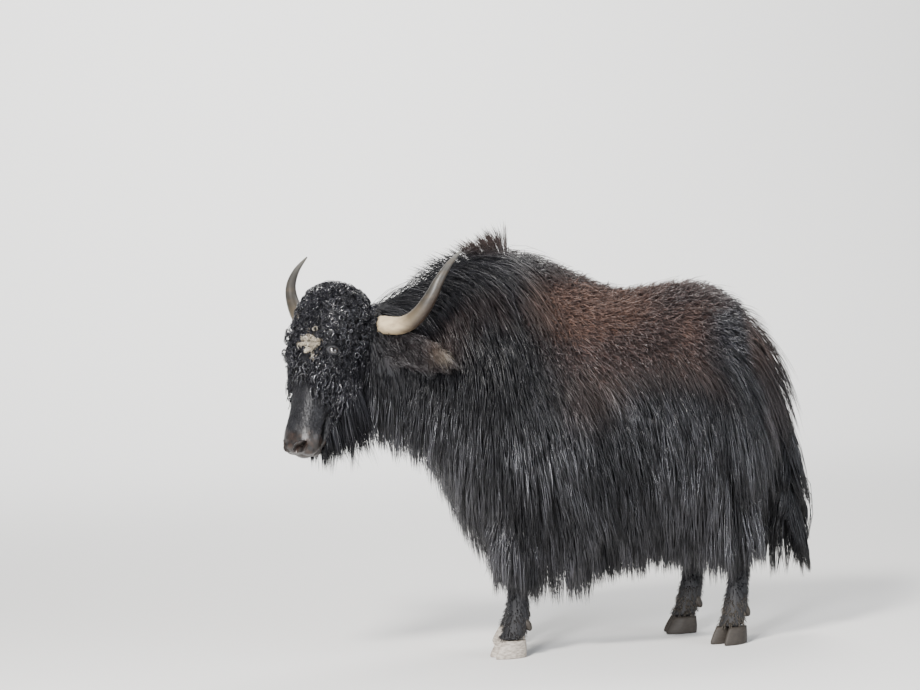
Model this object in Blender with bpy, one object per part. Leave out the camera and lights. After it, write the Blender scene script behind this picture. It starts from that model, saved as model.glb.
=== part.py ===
"""A life-size standing yak, parted into head, neck, torso, tail, legs, hooves, horns, ears and eyes.

Run with: blender --background --python part.py
Metres, +Z up. The floor is z = 0, the animal faces -X, its left side is -Y, and its head is turned to
its left. Every form comes from the named sizes below.
"""
import math
import random

import bmesh
import bpy
from mathutils import Matrix, Vector

GAP = 0.0003                  # clearance between parts that touch
ROOM = 0.0005                 # clearance all round a part that sits in a socket
CUTTER_SIZE = 4.0
SEED = 11

UP = Vector((0, 0, 1))

# Trunk, from the rump to inside the head: x, y, yaw, underside, widest height, top, half width, peak.
# Yaw turns a section to the animal's left, in degrees. Peak above 1 narrows the top to a ridge.
TRUNK = [
    (0.742, 0.00, 0, 0.985, 1.035, 1.085, 0.055, 1.00),
    (0.722, 0.00, 0, 0.78, 0.92, 1.120, 0.135, 1.00),
    (0.690, 0.00, 0, 0.62, 0.86, 1.160, 0.200, 1.00),
    (0.640, 0.00, 0, 0.50, 0.82, 1.203, 0.260, 1.05),
    (0.540, 0.00, 0, 0.43, 0.78, 1.250, 0.318, 1.10),
    (0.400, 0.00, 0, 0.41, 0.76, 1.245, 0.340, 1.10),
    (0.240, 0.00, 0, 0.40, 0.75, 1.240, 0.352, 1.15),
    (0.080, 0.00, 0, 0.40, 0.76, 1.318, 0.356, 1.35),
    (-0.060, 0.00, 0, 0.40, 0.78, 1.372, 0.350, 1.45),
    (-0.180, 0.00, 0, 0.43, 0.82, 1.392, 0.330, 1.45),
    (-0.300, 0.00, 1, 0.52, 0.88, 1.372, 0.272, 1.30),
    (-0.400, -0.002, 4, 0.67, 0.94, 1.325, 0.222, 1.20),
    (-0.500, -0.012, 9, 0.745, 0.99, 1.275, 0.180, 1.10),
    (-0.590, -0.040, 17, 0.79, 1.01, 1.240, 0.160, 1.00),
    (-0.670, -0.080, 28, 0.84, 1.02, 1.200, 0.140, 1.00),
]
TRUNK_STEPS = 2               # lofted sections for each row of the table
TRUNK_SIDES = 20
UNDERSIDE_ROUNDNESS = 0.82    # below 1 squares the lower half of a section
NECK_CUT = (-0.415, -0.006, 4)      # x, y and yaw of the cut between torso and neck
HEAD_CUT = (-0.585, -0.043, 22)     # and between neck and head

# Head: a frame at the poll, with s down the face, a to the animal's left and d out of the forehead.
POLL = Vector((-0.744, -0.092, 1.259))
HEAD_YAW = math.radians(37)
FACE_TILT = math.radians(18)
FORWARD = Vector((-math.cos(HEAD_YAW), -math.sin(HEAD_YAW), 0))
HEAD_LEFT = UP.cross(FORWARD)
NOSE_WAY = -UP * math.cos(FACE_TILT) + FORWARD * math.sin(FACE_TILT)
FACE_OUT = FORWARD * math.cos(FACE_TILT) + UP * math.sin(FACE_TILT)
# Skull and upper jaw: s, half width, depth in front, depth behind.
SKULL = [
    (-0.035, 0.050, 0.010, 0.085),
    (-0.010, 0.100, 0.050, 0.135),
    (0.050, 0.130, 0.080, 0.180),
    (0.120, 0.138, 0.092, 0.200),
    (0.200, 0.128, 0.094, 0.200),
    (0.270, 0.106, 0.086, 0.170),
    (0.340, 0.082, 0.074, 0.110),
    (0.400, 0.070, 0.068, 0.060),
    (0.450, 0.073, 0.066, 0.030),
    (0.500, 0.078, 0.066, 0.026),
    (0.530, 0.066, 0.054, 0.018),
    (0.545, 0.038, 0.030, 0.005),
]
SKULL_SIDES = 16
SKULL_PEAK = 0.86
# Lower jaw: s, half width, front and back of the section, both as depth d.
JAW = [
    (0.240, 0.080, -0.060, -0.180),
    (0.300, 0.072, -0.050, -0.150),
    (0.370, 0.060, -0.036, -0.115),
    (0.430, 0.056, -0.030, -0.088),
    (0.480, 0.056, -0.031, -0.078),
    (0.512, 0.046, -0.031, -0.068),
    (0.528, 0.026, -0.034, -0.056),
]
JAW_SIDES = 12
EYE_RADIUS = 0.021
EYE_PLACE = (0.205, 0.103, 0.042)      # s, a and d of the left eye's middle
EYE_GAZE = (0.90, 0.42)                # how far it looks to the side, and out of the face
LID_REACH = 1.18                       # of the eye's radius
LID_RISE = {"upper": 0.62, "lower": -0.70}
LID_THICKNESS = 0.0065
NOSTRIL_PLACE = (0.505, 0.046, 0.052)
NOSTRIL_SIZE = (0.020, 0.011, 0.020)

# Horn: a, forward and height above the poll of its middle line, then its radius. The first is buried.
HORN = [
    (0.063, -0.072, -0.102, 0.031),
    (0.143, -0.090, -0.105, 0.031),
    (0.228, -0.104, -0.108, 0.030),
    (0.295, -0.114, -0.078, 0.027),
    (0.345, -0.128, -0.020, 0.0225),
    (0.371, -0.146, 0.035, 0.0175),
    (0.382, -0.185, 0.088, 0.011),
    (0.387, -0.242, 0.134, 0.003),
]
HORN_STEPS = 2
HORN_SIDES = 8
HORN_SOCKET_ROWS = 8          # sections of the horn that its socket follows

# Ear: root as s, a and d, the way it points as left, forward and up, and its size.
EAR_ROOT = (0.140, 0.144, -0.140)
EAR_WAY = (0.94, -0.30, -0.14)
EAR_LENGTH = 0.290
EAR_START = 0.010             # from the root to where the leaf begins
EAR_HALF_WIDTH = 0.062
EAR_THICKNESS = 0.009
EAR_STEPS = 6
EAR_CUP = 0.50                # depth of the cup as a share of the half width
EAR_ROOM = 2.2                # gaps between the leaf's slanting walls and its socket
EAR_DROOP = 0.030
EAR_STUB = (0.024, 0.020, 0.045)
EAR_STUB_PLACE = (0.012, -0.016)       # along the ear, and out of its open side

# Tail: x and height of the dock's middle line, then half width across and half depth.
TAIL = [
    (0.680, 1.050, 0.034, 0.032),
    (0.728, 1.042, 0.036, 0.034),
    (0.762, 0.985, 0.042, 0.034),
    (0.772, 0.890, 0.052, 0.036),
    (0.780, 0.770, 0.062, 0.040),
    (0.795, 0.640, 0.062, 0.042),
    (0.808, 0.540, 0.040, 0.030),
]
# Locks of the tail in tiers: height of the roots and of the tips, how far they flare, and the ways
# they hang, in degrees round from straight behind.
TAIL_TIERS = [
    (0.86, 0.60, 0.040, (0, -70, 70)),
    (0.76, 0.47, 0.060, (-35, 35, -100, 100)),
    (0.66, 0.375, 0.085, (0, -62, 62, -125, 125)),
    (0.58, 0.285, 0.062, (-32, 32, -110, 110)),
]
TAIL_DRIFT = 0.040            # how far the tips lie behind the roots
TAIL_LOCK_WIDTH = 0.078
TAIL_LOCK_THICKNESS = 0.026
TAIL_LOCK_ROOT = 0.022        # how far the roots lie off the core's middle line
TAIL_SIDES = 12

# Legs: height, shift back, half length and half width of each section, for a front and a hind leg.
LEG_TOP = 0.475
ANKLE = 0.060                 # height where the claws begin
FRONT_LEG = [
    (LEG_TOP, 0.010, 0.078, 0.062),
    (0.400, 0.008, 0.068, 0.056),
    (0.320, 0.004, 0.054, 0.048),
    (0.240, 0.006, 0.043, 0.040),
    (0.170, 0.006, 0.044, 0.042),
    (0.125, 0.002, 0.052, 0.050),
    (0.090, -0.010, 0.050, 0.051),
    (ANKLE, -0.026, 0.054, 0.056),
]
HIND_LEG = [
    (LEG_TOP, -0.035, 0.092, 0.062),
    (0.410, 0.010, 0.072, 0.054),
    (0.350, 0.026, 0.058, 0.046),
    (0.270, 0.020, 0.049, 0.042),
    (0.190, 0.010, 0.048, 0.042),
    (0.130, -0.002, 0.054, 0.050),
    (0.092, -0.014, 0.051, 0.051),
    (ANKLE, -0.030, 0.055, 0.056),
]
LEG_SIDES = 10
# Feet: x, y, turn outwards in degrees, and the leg's table.
FEET = {
    "front_left": (-0.168, -0.172, 8, FRONT_LEG),
    "front_right": (-0.112, 0.172, 6, FRONT_LEG),
    "hind_left": (0.600, -0.165, 32, HIND_LEG),
    "hind_right": (0.512, 0.165, 5, HIND_LEG),
}
SIDES = {"left": 1, "right": -1}
CLAW_SIDES = 8
CLAW_LENGTH = 0.112
CLAW_WIDTH = 0.050
CLAW_CLEFT = 0.007            # between the two claws at the heel
CLAW_SPLAY = 5                # degrees that each claw turns from the foot's middle
CLAW_PINCH = 0.42             # how much the toe narrows
# Sections of a claw: height, then length, width and shift forward as shares of its length and width.
CLAW = [
    (0.000, 0.96, 0.92, 0.08),
    (0.008, 1.00, 1.00, 0.08),
    (0.030, 0.92, 1.00, 0.03),
    (ANKLE - GAP, 0.74, 0.92, -0.05),
]
DEWCLAW_PLACE = (-0.070, 0.024, 0.112)      # forward, to the side and up from the ankle's middle
DEWCLAW_SIZE = (0.014, 0.015, 0.030)

# Hem of the long coat: x along the body, and height of the tips.
HEM = [
    (-0.60, 0.68), (-0.50, 0.665), (-0.42, 0.62), (-0.38, 0.52), (-0.33, 0.42), (-0.27, 0.34),
    (-0.20, 0.27), (-0.12, 0.22), (-0.03, 0.195), (0.06, 0.205), (0.13, 0.268), (0.26, 0.262),
    (0.38, 0.278), (0.50, 0.250), (0.62, 0.237), (0.74, 0.300),
]
LOCK_WIDTH = 0.128
LOCK_THICKNESS = 0.026
LOCK_STEPS = 4                # lengths that a lock bends in
LOCK_ROOT_SHARE = 0.75        # width at the root, as a share of the widest
LOCK_TAPER = 0.72             # share of its width that a lock loses before its tip
LOCK_TIP_ROOM = 6             # how many times its room a lock's tip gets in a socket
LOCK_ROOT_DEPTH = 0.022       # how far a root is sunk in its surface
LOCK_DRAW_IN = 0.20           # how much a lock draws in for each metre below the widest height
LOCK_SWAY = 0.020             # most that a lock leans along the body
LOCK_TUCK = 0.012             # how far a tip turns in towards the body
LOCK_STEP_OUT = 1.8           # how early a lock has come out of its surface
LOCK_BELLY = 0.018            # how far a hanging lock curves forward
LEAST_FLANK_LOCK = 0.14
LEAST_HUNG_LOCK = 0.09
TIP_SCATTER = 0.018           # most that tips lie above or below the hem
ROOT_SCATTER = 0.010          # most that roots lie fore or aft of their place
# Tiers of the flank: where the roots are, as a share of the way from the widest height down to the
# underside, the height of the tips over the hem, and how far the locks lie out of the surface.
FLANK_TIERS = [(-0.10, 0.27, 0.034), (0.34, 0.13, 0.010), (0.74, 0.00, -0.014)]
FLANK_LAP = 0.008             # every second lock lies this much further out, over its neighbours
FLANK_ENDS = (-0.385, 0.700)
FLANK_COUNT = 11              # locks a side in each tier
# Locks under the trunk and behind the thighs: x, then how far to each side.
CHEST_LOCKS = [(-0.385, (0.050, 0.140)), (-0.320, (0.0, 0.095)), (-0.255, (0.045,))]
THIGH_LOCKS = [(0.715, (0.120,)), (0.690, (0.175,)), (0.640, (0.150,))]
NECK_LOCKS = [(-0.470, (0.060,)), (-0.535, (0.0, 0.100)), (-0.595, (0.050,))]
NECK_SIDE_LOCKS = (-0.450, -0.515, -0.580)      # x of the locks at each side of the neck
NECK_SIDE_REACH = (0.04, 0.01)                  # roots below the widest height, tips above the underside
NECK_LOCK_LIFT = 0.012
THROAT_LOCKS = [(-0.628, (0.045, 0.110)), (-0.662, (0.0, 0.070))]
JAW_LOCKS = [(0.270, 0.044), (0.320, 0.0), (0.345, 0.040), (0.410, 0.0)]      # s, and a to each side
JAW_LOCK_LENGTH = 0.130
JAW_LOCK_WIDTH = 0.070
JAW_LOCK_THICKNESS = 0.020
JAW_LOCK_BELLY = 0.035        # how far they curve back
# Crest on the hump: the ends of its row of tufts along x, their number, length and width.
CREST_ENDS = (-0.325, -0.105)
CREST_COUNT = 8
CREST_LENGTH = 0.095
CREST_WIDTH = 0.042
CREST_THICKNESS = 0.015
# Curls of the forehead: rows down the face, degrees round it with 90 straight out, clumps in a row,
# the half width and the height of one, and how far they stay off the middle of an eye.
CURL_ROWS = (-0.015, 0.036, 0.087, 0.138, 0.189, 0.240, 0.288)
CURL_TURNS = (-16, 196)
CURL_COUNT = 6
CURL_SIZE = (0.037, 0.021)
CURL_CLEAR_OF_EYE = 0.046
EAR_FRINGE = (0.30, 0.52, 0.74)      # locks on the ear's lower edge, as shares of its length
EAR_FRINGE_LENGTH = 0.062
EAR_FRINGE_WIDTH = 0.072
EAR_FRINGE_THICKNESS = 0.0063


def clear_scene():
    for obj in list(bpy.data.objects):
        bpy.data.objects.remove(obj)


def new_material(name, colour, roughness, metallic=0.0):
    material = bpy.data.materials.new(name)
    material.use_nodes = True
    shader = material.node_tree.nodes["Principled BSDF"]
    shader.inputs["Base Color"].default_value = (*colour, 1)
    shader.inputs["Roughness"].default_value = roughness
    shader.inputs["Metallic"].default_value = metallic
    return material


def between(rows, t):
    """The row at place t of a table, on a smooth curve through all its rows."""
    last = len(rows) - 1
    i = min(int(t), last - 1)
    f = t - i
    a, b, c, d = (rows[max(0, min(last, i + k))] for k in (-1, 0, 1, 2))
    return [
        0.5 * (2 * q + (r - p) * f + (2 * p - 5 * q + 4 * r - s) * f * f + (3 * q - p - 3 * r + s) * f**3)
        for p, q, r, s in zip(a, b, c, d)
    ]


def filled_in(rows, steps):
    """The table with steps rows for each of its own, on the same curve."""
    return [between(rows, k / steps) for k in range((len(rows) - 1) * steps + 1)]


def row_at(rows, s):
    """The row of a table at s, its first column, on straight lines between its rows."""
    for low, high in zip(rows, rows[1:]):
        if s <= high[0]:
            f = (s - low[0]) / (high[0] - low[0])
            return [p + (q - p) * f for p, q in zip(low, high)]
    return rows[-1]


def at_x(points, x):
    """The second value of a line of points at x, their first value."""
    if x <= points[0][0]:
        return points[0][1]
    for (x0, z0), (x1, z1) in zip(points, points[1:]):
        if x <= x1:
            return z0 + (z1 - z0) * (x - x0) / (x1 - x0)
    return points[-1][1]


def new_object(name, bm):
    bmesh.ops.recalc_face_normals(bm, faces=bm.faces)
    mesh = bpy.data.meshes.new(name)
    bm.to_mesh(mesh)
    bm.free()
    obj = bpy.data.objects.new(name, mesh)
    bpy.context.scene.collection.objects.link(obj)
    return obj


def loft(name, rings, tip=None):
    """A closed solid through rings of as many points each, ending in a point where tip is given.

    Its sides are triangles, so that a socket lofted from larger rings is split in the same way.
    """
    bm = bmesh.new()
    loops = [[bm.verts.new(p) for p in ring] for ring in rings]
    for low, high in zip(loops, loops[1:]):
        for k in range(len(low)):
            n = (k + 1) % len(low)
            bm.faces.new((low[k], low[n], high[n]))
            bm.faces.new((low[k], high[n], high[k]))
    bm.faces.new(loops[0][::-1])
    if tip is None:
        bm.faces.new(loops[-1])
    else:
        point = bm.verts.new(tip)
        end = loops[-1]
        for k in range(len(end)):
            bm.faces.new((end[k], end[(k + 1) % len(end)], point))
    return new_object(name, bm)


def oval(middle, across, along, half_across, low, high, sides, peak=1.0, base=UNDERSIDE_ROUNDNESS):
    """A ring round middle, low and high being its reach each way along the second direction."""
    points = []
    for k in range(sides):
        angle = 2 * math.pi * (k + 0.5) / sides
        c, s = math.cos(angle), math.sin(angle)
        power = peak if s > 0 else base
        points.append(
            middle
            + across * (half_across * math.copysign(abs(c) ** power, c))
            + along * (high * s if s > 0 else low * s)
        )
    return points


def applied(obj):
    """The object's shape with its modifiers, as a plain mesh in its place."""
    graph = bpy.context.evaluated_depsgraph_get()
    mesh = bpy.data.meshes.new_from_object(obj.evaluated_get(graph))
    obj.modifiers.clear()
    obj.data = mesh
    return obj


def combined(obj, others, operation="UNION", solver="MANIFOLD"):
    """obj with every other object joined to it or cut from it. The others are removed."""
    group = bpy.data.collections.new(obj.name + "_pieces")
    bpy.context.scene.collection.children.link(group)
    for other in others:
        group.objects.link(other)
    boolean = obj.modifiers.new("Boolean", "BOOLEAN")
    boolean.operation = operation
    boolean.operand_type = "COLLECTION"
    boolean.collection = group
    boolean.solver = solver
    applied(obj)
    for other in others:
        bpy.data.objects.remove(other)
    bpy.data.collections.remove(group)
    return largest_surface(obj)


def largest_surface(obj):
    """Keeps only the largest closed surface of a mesh."""
    bm = bmesh.new()
    bm.from_mesh(obj.data)
    bmesh.ops.remove_doubles(bm, verts=bm.verts, dist=1e-6)
    left = set(bm.verts)
    shells = []
    while left:
        shell, todo = set(), [left.pop()]
        while todo:
            vert = todo.pop()
            shell.add(vert)
            near = {edge.other_vert(vert) for edge in vert.link_edges} & left
            left -= near
            todo.extend(near)
        shells.append(shell)
    largest = max(shells, key=len)
    bmesh.ops.delete(bm, geom=[v for v in bm.verts if v not in largest], context="VERTS")
    bm.to_mesh(obj.data)
    bm.free()
    return obj


def halved(obj, point, way):
    """Cuts the object at an upright plane, keeping the side that way points to."""
    bm = bmesh.new()
    bmesh.ops.create_cube(bm, size=CUTTER_SIZE)
    turn = Matrix((way, UP.cross(way), UP)).transposed().to_4x4()
    place = Matrix.Translation(point - way * (CUTTER_SIZE / 2))
    bmesh.ops.transform(bm, matrix=place @ turn, verts=bm.verts)
    return combined(obj, [new_object("far_side", bm)], "DIFFERENCE")


def copy_of(obj, name):
    twin = bpy.data.objects.new(name, obj.data.copy())
    bpy.context.scene.collection.objects.link(twin)
    return twin


def ball(name, middle, axes, radii, sides=8, rings=6):
    """An ellipsoid, with its radii along the three given directions."""
    bm = bmesh.new()
    bmesh.ops.create_uvsphere(bm, u_segments=sides, v_segments=rings, radius=1)
    turn = Matrix(axes).transposed().to_4x4()
    size = Matrix.Diagonal((*radii, 1))
    bmesh.ops.transform(bm, matrix=Matrix.Translation(middle) @ turn @ size, verts=bm.verts)
    return new_object(name, bm)


# The trunk, and the planes that part it

def turned(yaw):
    """The way forward and the animal's left, for a section turned to the left by yaw degrees."""
    angle = math.radians(yaw)
    forward = Vector((-math.cos(angle), -math.sin(angle), 0))
    return forward, UP.cross(forward)


def build_trunk():
    rings = []
    for x, y, yaw, low, middle, high, half, peak in filled_in(TRUNK, TRUNK_STEPS):
        _, left = turned(yaw)
        centre = Vector((x, y, middle))
        rings.append(oval(centre, left, UP, half, middle - low, high - middle, TRUNK_SIDES, peak))
    return loft("trunk", rings)


def cut_plane(cut, side):
    """A point and a way for one side of a cut, with the gap shared between both sides."""
    x, y, yaw = cut
    forward, _ = turned(yaw)
    way = forward * side
    return Vector((x, y, 1)) + way * (GAP / 2), way


# Locks of hair

def lock(path, across, width, thickness, grow=0.0):
    """A flat, tapered lock along a path, with a ridge down its outer side. Across runs over its width."""
    rings = []
    for k, point in enumerate(path[:-1]):
        way = (path[k + 1] - path[max(0, k - 1)]).normalized()
        side = (across - way * across.dot(way)).normalized()
        out = way.cross(side)
        full = LOCK_ROOT_SHARE if k == 0 else 1 - LOCK_TAPER * (k / (len(path) - 1)) ** 2
        h = thickness * full
        w = width / 2 * full * (1 + 2 * grow / h)
        base = point - way * (grow if k == 0 else 0) - out * grow
        rings.append([base + side * w, base + out * (h + 2 * grow), base - side * w])
    return loft("lock", rings, tip=path[-1] + way * (LOCK_TIP_ROOM * grow))


def section_at(x):
    """The trunk's section whose middle lies at x."""
    low, high = 0.0, len(TRUNK) - 1.0
    for _ in range(24):
        t = (low + high) / 2
        if between(TRUNK, t)[0] > x:
            low = t
        else:
            high = t
    return between(TRUNK, low)


def half_width_at(section, z):
    """Half the width of a trunk section at height z, which is 0 above and below it."""
    _, _, _, low, middle, high, half, peak = section
    reach = high - middle if z > middle else middle - low
    power = peak if z > middle else UNDERSIDE_ROUNDNESS
    return half * max(0, 1 - ((z - middle) / reach) ** 2) ** (power / 2)


def flank_lock(x, side, root, tip, lift, rng):
    """A lock that grows out of the flank and hangs from its widest line."""
    section = section_at(x)
    middle, half = section[4], section[6]
    forward, left = turned(section[2])
    centre = Vector((section[0], section[1], 0))
    start = half_width_at(section, root) - LOCK_ROOT_DEPTH
    sway = rng.uniform(-LOCK_SWAY, LOCK_SWAY)
    path = []
    for k in range(LOCK_STEPS + 1):
        u = k / LOCK_STEPS
        z = root + (tip - root) * u
        hang = half_width_at(section, z) if z > middle else half * (1 - LOCK_DRAW_IN * (middle - z))
        eased = min(1, LOCK_STEP_OUT * u)
        aside = start + (hang + lift - start) * eased * (2 - eased) - LOCK_TUCK * u**4
        path.append(centre + left * (side * aside) - forward * (sway * math.sin(2.6 * u)) + UP * z)
    return lock(path, forward * -side, LOCK_WIDTH * rng.uniform(0.9, 1.12), LOCK_THICKNESS)


def underside_lock(x, aside, length, rng):
    """A lock that hangs plumb from the trunk's underside or rear, its flat side across the body."""
    section = section_at(x)
    low, middle, half = section[3], section[4], section[6]
    forward, left = turned(section[2])
    share = min(1, abs(aside) / half)
    root = middle - (middle - low) * math.sqrt(1 - share ** (2 / UNDERSIDE_ROUNDNESS))
    start = Vector((section[0], section[1], root)) + left * aside
    sway = rng.uniform(-LOCK_SWAY, LOCK_SWAY)
    path = []
    for k in range(LOCK_STEPS + 1):
        u = k / LOCK_STEPS
        drop = LOCK_ROOT_DEPTH * 1.6 - (length + LOCK_ROOT_DEPTH) * u
        bend = left * (sway * math.sin(2.8 * u)) + forward * (LOCK_BELLY * math.sin(2 * u))
        path.append(start + UP * drop + bend)
    return lock(path, left, LOCK_WIDTH, LOCK_THICKNESS)


def flank_locks(rng):
    locks = []
    first, last = FLANK_ENDS
    for tier, (share, over_hem, lift) in enumerate(FLANK_TIERS):
        for k in range(FLANK_COUNT):
            for side in SIDES.values():
                share_along = (k + 0.5 * (tier % 2)) / (FLANK_COUNT - 0.5)
                x = first + (last - first) * share_along + rng.uniform(-ROOT_SCATTER, ROOT_SCATTER)
                section = section_at(x)
                root = section[4] - (section[4] - section[3]) * share
                tip = at_x(HEM, x) + over_hem + rng.uniform(-TIP_SCATTER, TIP_SCATTER)
                tip = min(tip, root - LEAST_FLANK_LOCK)
                locks.append(flank_lock(x, side, root, tip, lift + FLANK_LAP * (k % 2), rng))
    return locks


def hung_locks(places, rng):
    """Locks under the trunk, each as long as it takes to reach the hem, at both sides of the middle."""
    locks = []
    for x, reaches in places:
        for reach in reaches:
            for aside in {reach, -reach}:
                low = section_at(x)[3]
                length = low - at_x(HEM, x) + rng.uniform(-TIP_SCATTER, TIP_SCATTER)
                locks.append(underside_lock(x, aside, max(LEAST_HUNG_LOCK, length), rng))
    return locks


def crest_locks(rng):
    """Upright tufts along the ridge of the hump, some leaning forward and some back."""
    locks = []
    first, last = CREST_ENDS
    for k in range(CREST_COUNT):
        x = first + (last - first) * k / (CREST_COUNT - 1)
        section = section_at(x)
        forward, left = turned(section[2])
        lean = forward * rng.uniform(-0.7, 0.5) + left * rng.uniform(-0.35, 0.35)
        arch = 0.7 + 0.3 * math.sin(math.pi * k / (CREST_COUNT - 1))
        length = CREST_LENGTH * rng.uniform(0.65, 1.0) * arch
        root = Vector((section[0], section[1] + rng.uniform(-0.012, 0.012), section[5] - LOCK_ROOT_DEPTH))
        path = [
            root + UP * ((length + LOCK_ROOT_DEPTH) * u) + lean * (length * u * u)
            for u in (0, 0.3, 0.6, 0.85, 1)
        ]
        locks.append(lock(path, forward, CREST_WIDTH, CREST_THICKNESS))
    return locks


def neck_locks(rng):
    locks = hung_locks(NECK_LOCKS, rng)
    for x in NECK_SIDE_LOCKS:
        section = section_at(x)
        low, middle = section[3], section[4]
        for side in SIDES.values():
            below, above = NECK_SIDE_REACH
            locks.append(flank_lock(x, side, middle - below, low + above, NECK_LOCK_LIFT, rng))
    return locks


def jaw_locks(rng):
    """Hair that hangs from the jaw's edge and the chin."""
    locks = []
    for s, aside in JAW_LOCKS:
        row = row_at(JAW, s)
        for a in {aside, -aside}:
            start = head_point(s, a, row[3] + LOCK_ROOT_DEPTH)
            length = JAW_LOCK_LENGTH * rng.uniform(0.85, 1.1)
            path = [
                start - UP * (length * u) - FORWARD * (JAW_LOCK_BELLY * math.sin(1.6 * u))
                for u in (0, 0.2, 0.45, 0.72, 1)
            ]
            locks.append(lock(path, HEAD_LEFT, JAW_LOCK_WIDTH, JAW_LOCK_THICKNESS))
    return locks


def tail_locks(rng):
    locks = []
    core = [(-z, x) for x, z, _, _ in TAIL]
    for root_z, tip_z, flare, turns in TAIL_TIERS:
        x = at_x(core, -root_z)
        for turn in turns:
            angle = math.radians(turn + rng.uniform(-8, 8))
            out = Vector((math.cos(angle), math.sin(angle), 0))
            across = UP.cross(out)
            drop = root_z - tip_z + rng.uniform(-0.012, 0.025)
            path = [
                Vector((x + TAIL_DRIFT * u, 0, root_z - drop * u))
                + out * (TAIL_LOCK_ROOT + flare * math.sin(1.9 * u))
                for u in (0, 0.2, 0.48, 0.76, 1)
            ]
            locks.append(lock(path, across, TAIL_LOCK_WIDTH, TAIL_LOCK_THICKNESS))
    return locks


# Tail and legs

def build_tail(name, grow=0.0):
    """The dock with its core of hair, from which the locks hang."""
    rings = []
    for k, (x, z, half, deep) in enumerate(TAIL):
        ahead = TAIL[min(k + 1, len(TAIL) - 1)]
        behind = TAIL[max(k - 1, 0)]
        way = Vector((ahead[0] - behind[0], 0, ahead[1] - behind[1])).normalized()
        start = Vector((x, 0, z)) - way * (grow if k == 0 else 0)
        across = Vector((0, -1, 0))
        rings.append(oval(start, across, way.cross(across), half + grow, deep + grow, deep + grow, TAIL_SIDES))
    return loft(name, rings)


def foot_ways(foot, share=1.0):
    """The way a foot points and its left. Share runs from 0 at the leg's top to 1 at the foot."""
    _, y, turn, _ = FEET[foot]
    angle = math.radians(turn) * share
    ahead = Vector((-math.cos(angle), math.copysign(math.sin(angle), y), 0))
    return ahead, UP.cross(ahead)


def foot_middle(foot):
    x, y, _, rows = FEET[foot]
    ahead, _ = foot_ways(foot)
    return Vector((x, y, 0)) - ahead * rows[-1][1]


def build_leg(foot, name, grow=0.0):
    """A leg from inside the trunk down to the claws."""
    x, y, _, rows = FEET[foot]
    rings = []
    for z, back, length, width in rows:
        ahead, left = foot_ways(foot, (LEG_TOP - z) / (LEG_TOP - ANKLE))
        centre = Vector((x, y, z)) - ahead * back
        rings.append(oval(centre, left, ahead, width + grow, length + grow, length + grow, LEG_SIDES))
    if grow:
        rings.insert(0, [point + UP * grow for point in rings[0]])
    return loft(name, rings)


def build_claw(foot, side):
    """One of a foot's two claws: a flat sole, a narrow toe and a rounded heel."""
    ahead, left = foot_ways(foot)
    angle = math.radians(CLAW_SPLAY) * SIDES[side]
    toe_way = ahead * math.cos(angle) + left * math.sin(angle)
    across = UP.cross(toe_way)
    base = foot_middle(foot) + left * (SIDES[side] * (CLAW_WIDTH + CLAW_CLEFT) / 2)
    rings = []
    for z, length, width, shift in CLAW:
        ring = []
        for k in range(CLAW_SIDES):
            turn = 2 * math.pi * k / CLAW_SIDES
            c, s = math.cos(turn), math.sin(turn)
            pinch = 1 - CLAW_PINCH * max(0, c) ** 2
            ring.append(
                base
                + UP * z
                + toe_way * (CLAW_LENGTH * (shift + length * c / 2))
                + across * (CLAW_WIDTH / 2 * width * s * pinch)
            )
        rings.append(ring)
    return loft(f"claw_{foot}_{side}", rings)


def build_dewclaw(foot, side, name, grow=0.0):
    """A small blunt claw behind the ankle, its root sunk in the leg."""
    ahead, left = foot_ways(foot)
    forward, aside, height = DEWCLAW_PLACE
    place = foot_middle(foot) + ahead * forward + left * (SIDES[side] * aside) + UP * height
    down = -(ahead + UP).normalized()
    radii = [radius + grow for radius in DEWCLAW_SIZE]
    return ball(name, place, (left, down.cross(left), down), radii, 6, 4)


# Head, horns and ears

def head_point(s, a, d):
    return POLL + NOSE_WAY * s + HEAD_LEFT * a + FACE_OUT * d


def build_skull():
    return loft("head", [
        oval(head_point(s, 0, 0), HEAD_LEFT, FACE_OUT, half, behind, front, SKULL_SIDES, SKULL_PEAK)
        for s, half, front, behind in SKULL
    ])


def build_jaw():
    rings = []
    for s, half, front, back in JAW:
        deep = (front - back) / 2
        middle = head_point(s, 0, (front + back) / 2)
        rings.append(oval(middle, HEAD_LEFT, FACE_OUT, half, deep, deep, JAW_SIDES, SKULL_PEAK))
    return loft("jaw", rings)


def eye_middle(side):
    s, a, d = EYE_PLACE
    return head_point(s, a * SIDES[side], d)


def build_lid(side, lid):
    """A curved bar over or under the eye."""
    aside, out = EYE_GAZE
    gaze = (HEAD_LEFT * SIDES[side] * aside + FACE_OUT * out).normalized()
    along = NOSE_WAY.cross(gaze).normalized()
    rise = gaze.cross(along) * SIDES[side]
    if rise.dot(NOSE_WAY) > 0:
        rise = -rise
    reach = EYE_RADIUS * LID_REACH
    path = []
    for k in range(6):
        angle = math.pi * (k + 0.5) / 6
        out_by = 0.010 - 0.004 * abs(math.cos(angle))
        up_by = math.sin(angle) * reach * LID_RISE[lid]
        path.append(eye_middle(side) + along * (math.cos(angle) * reach) + rise * up_by + gaze * out_by)
    rings = []
    for k, point in enumerate(path):
        way = (path[min(k + 1, 5)] - path[max(k - 1, 0)]).normalized()
        aside = way.cross(gaze).normalized()
        thick = LID_THICKNESS if 0 < k < 5 else LID_THICKNESS * 0.7
        rings.append([point + aside * thick, point + gaze * thick, point - aside * thick, point - gaze * thick])
    return loft("lid", rings)


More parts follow.
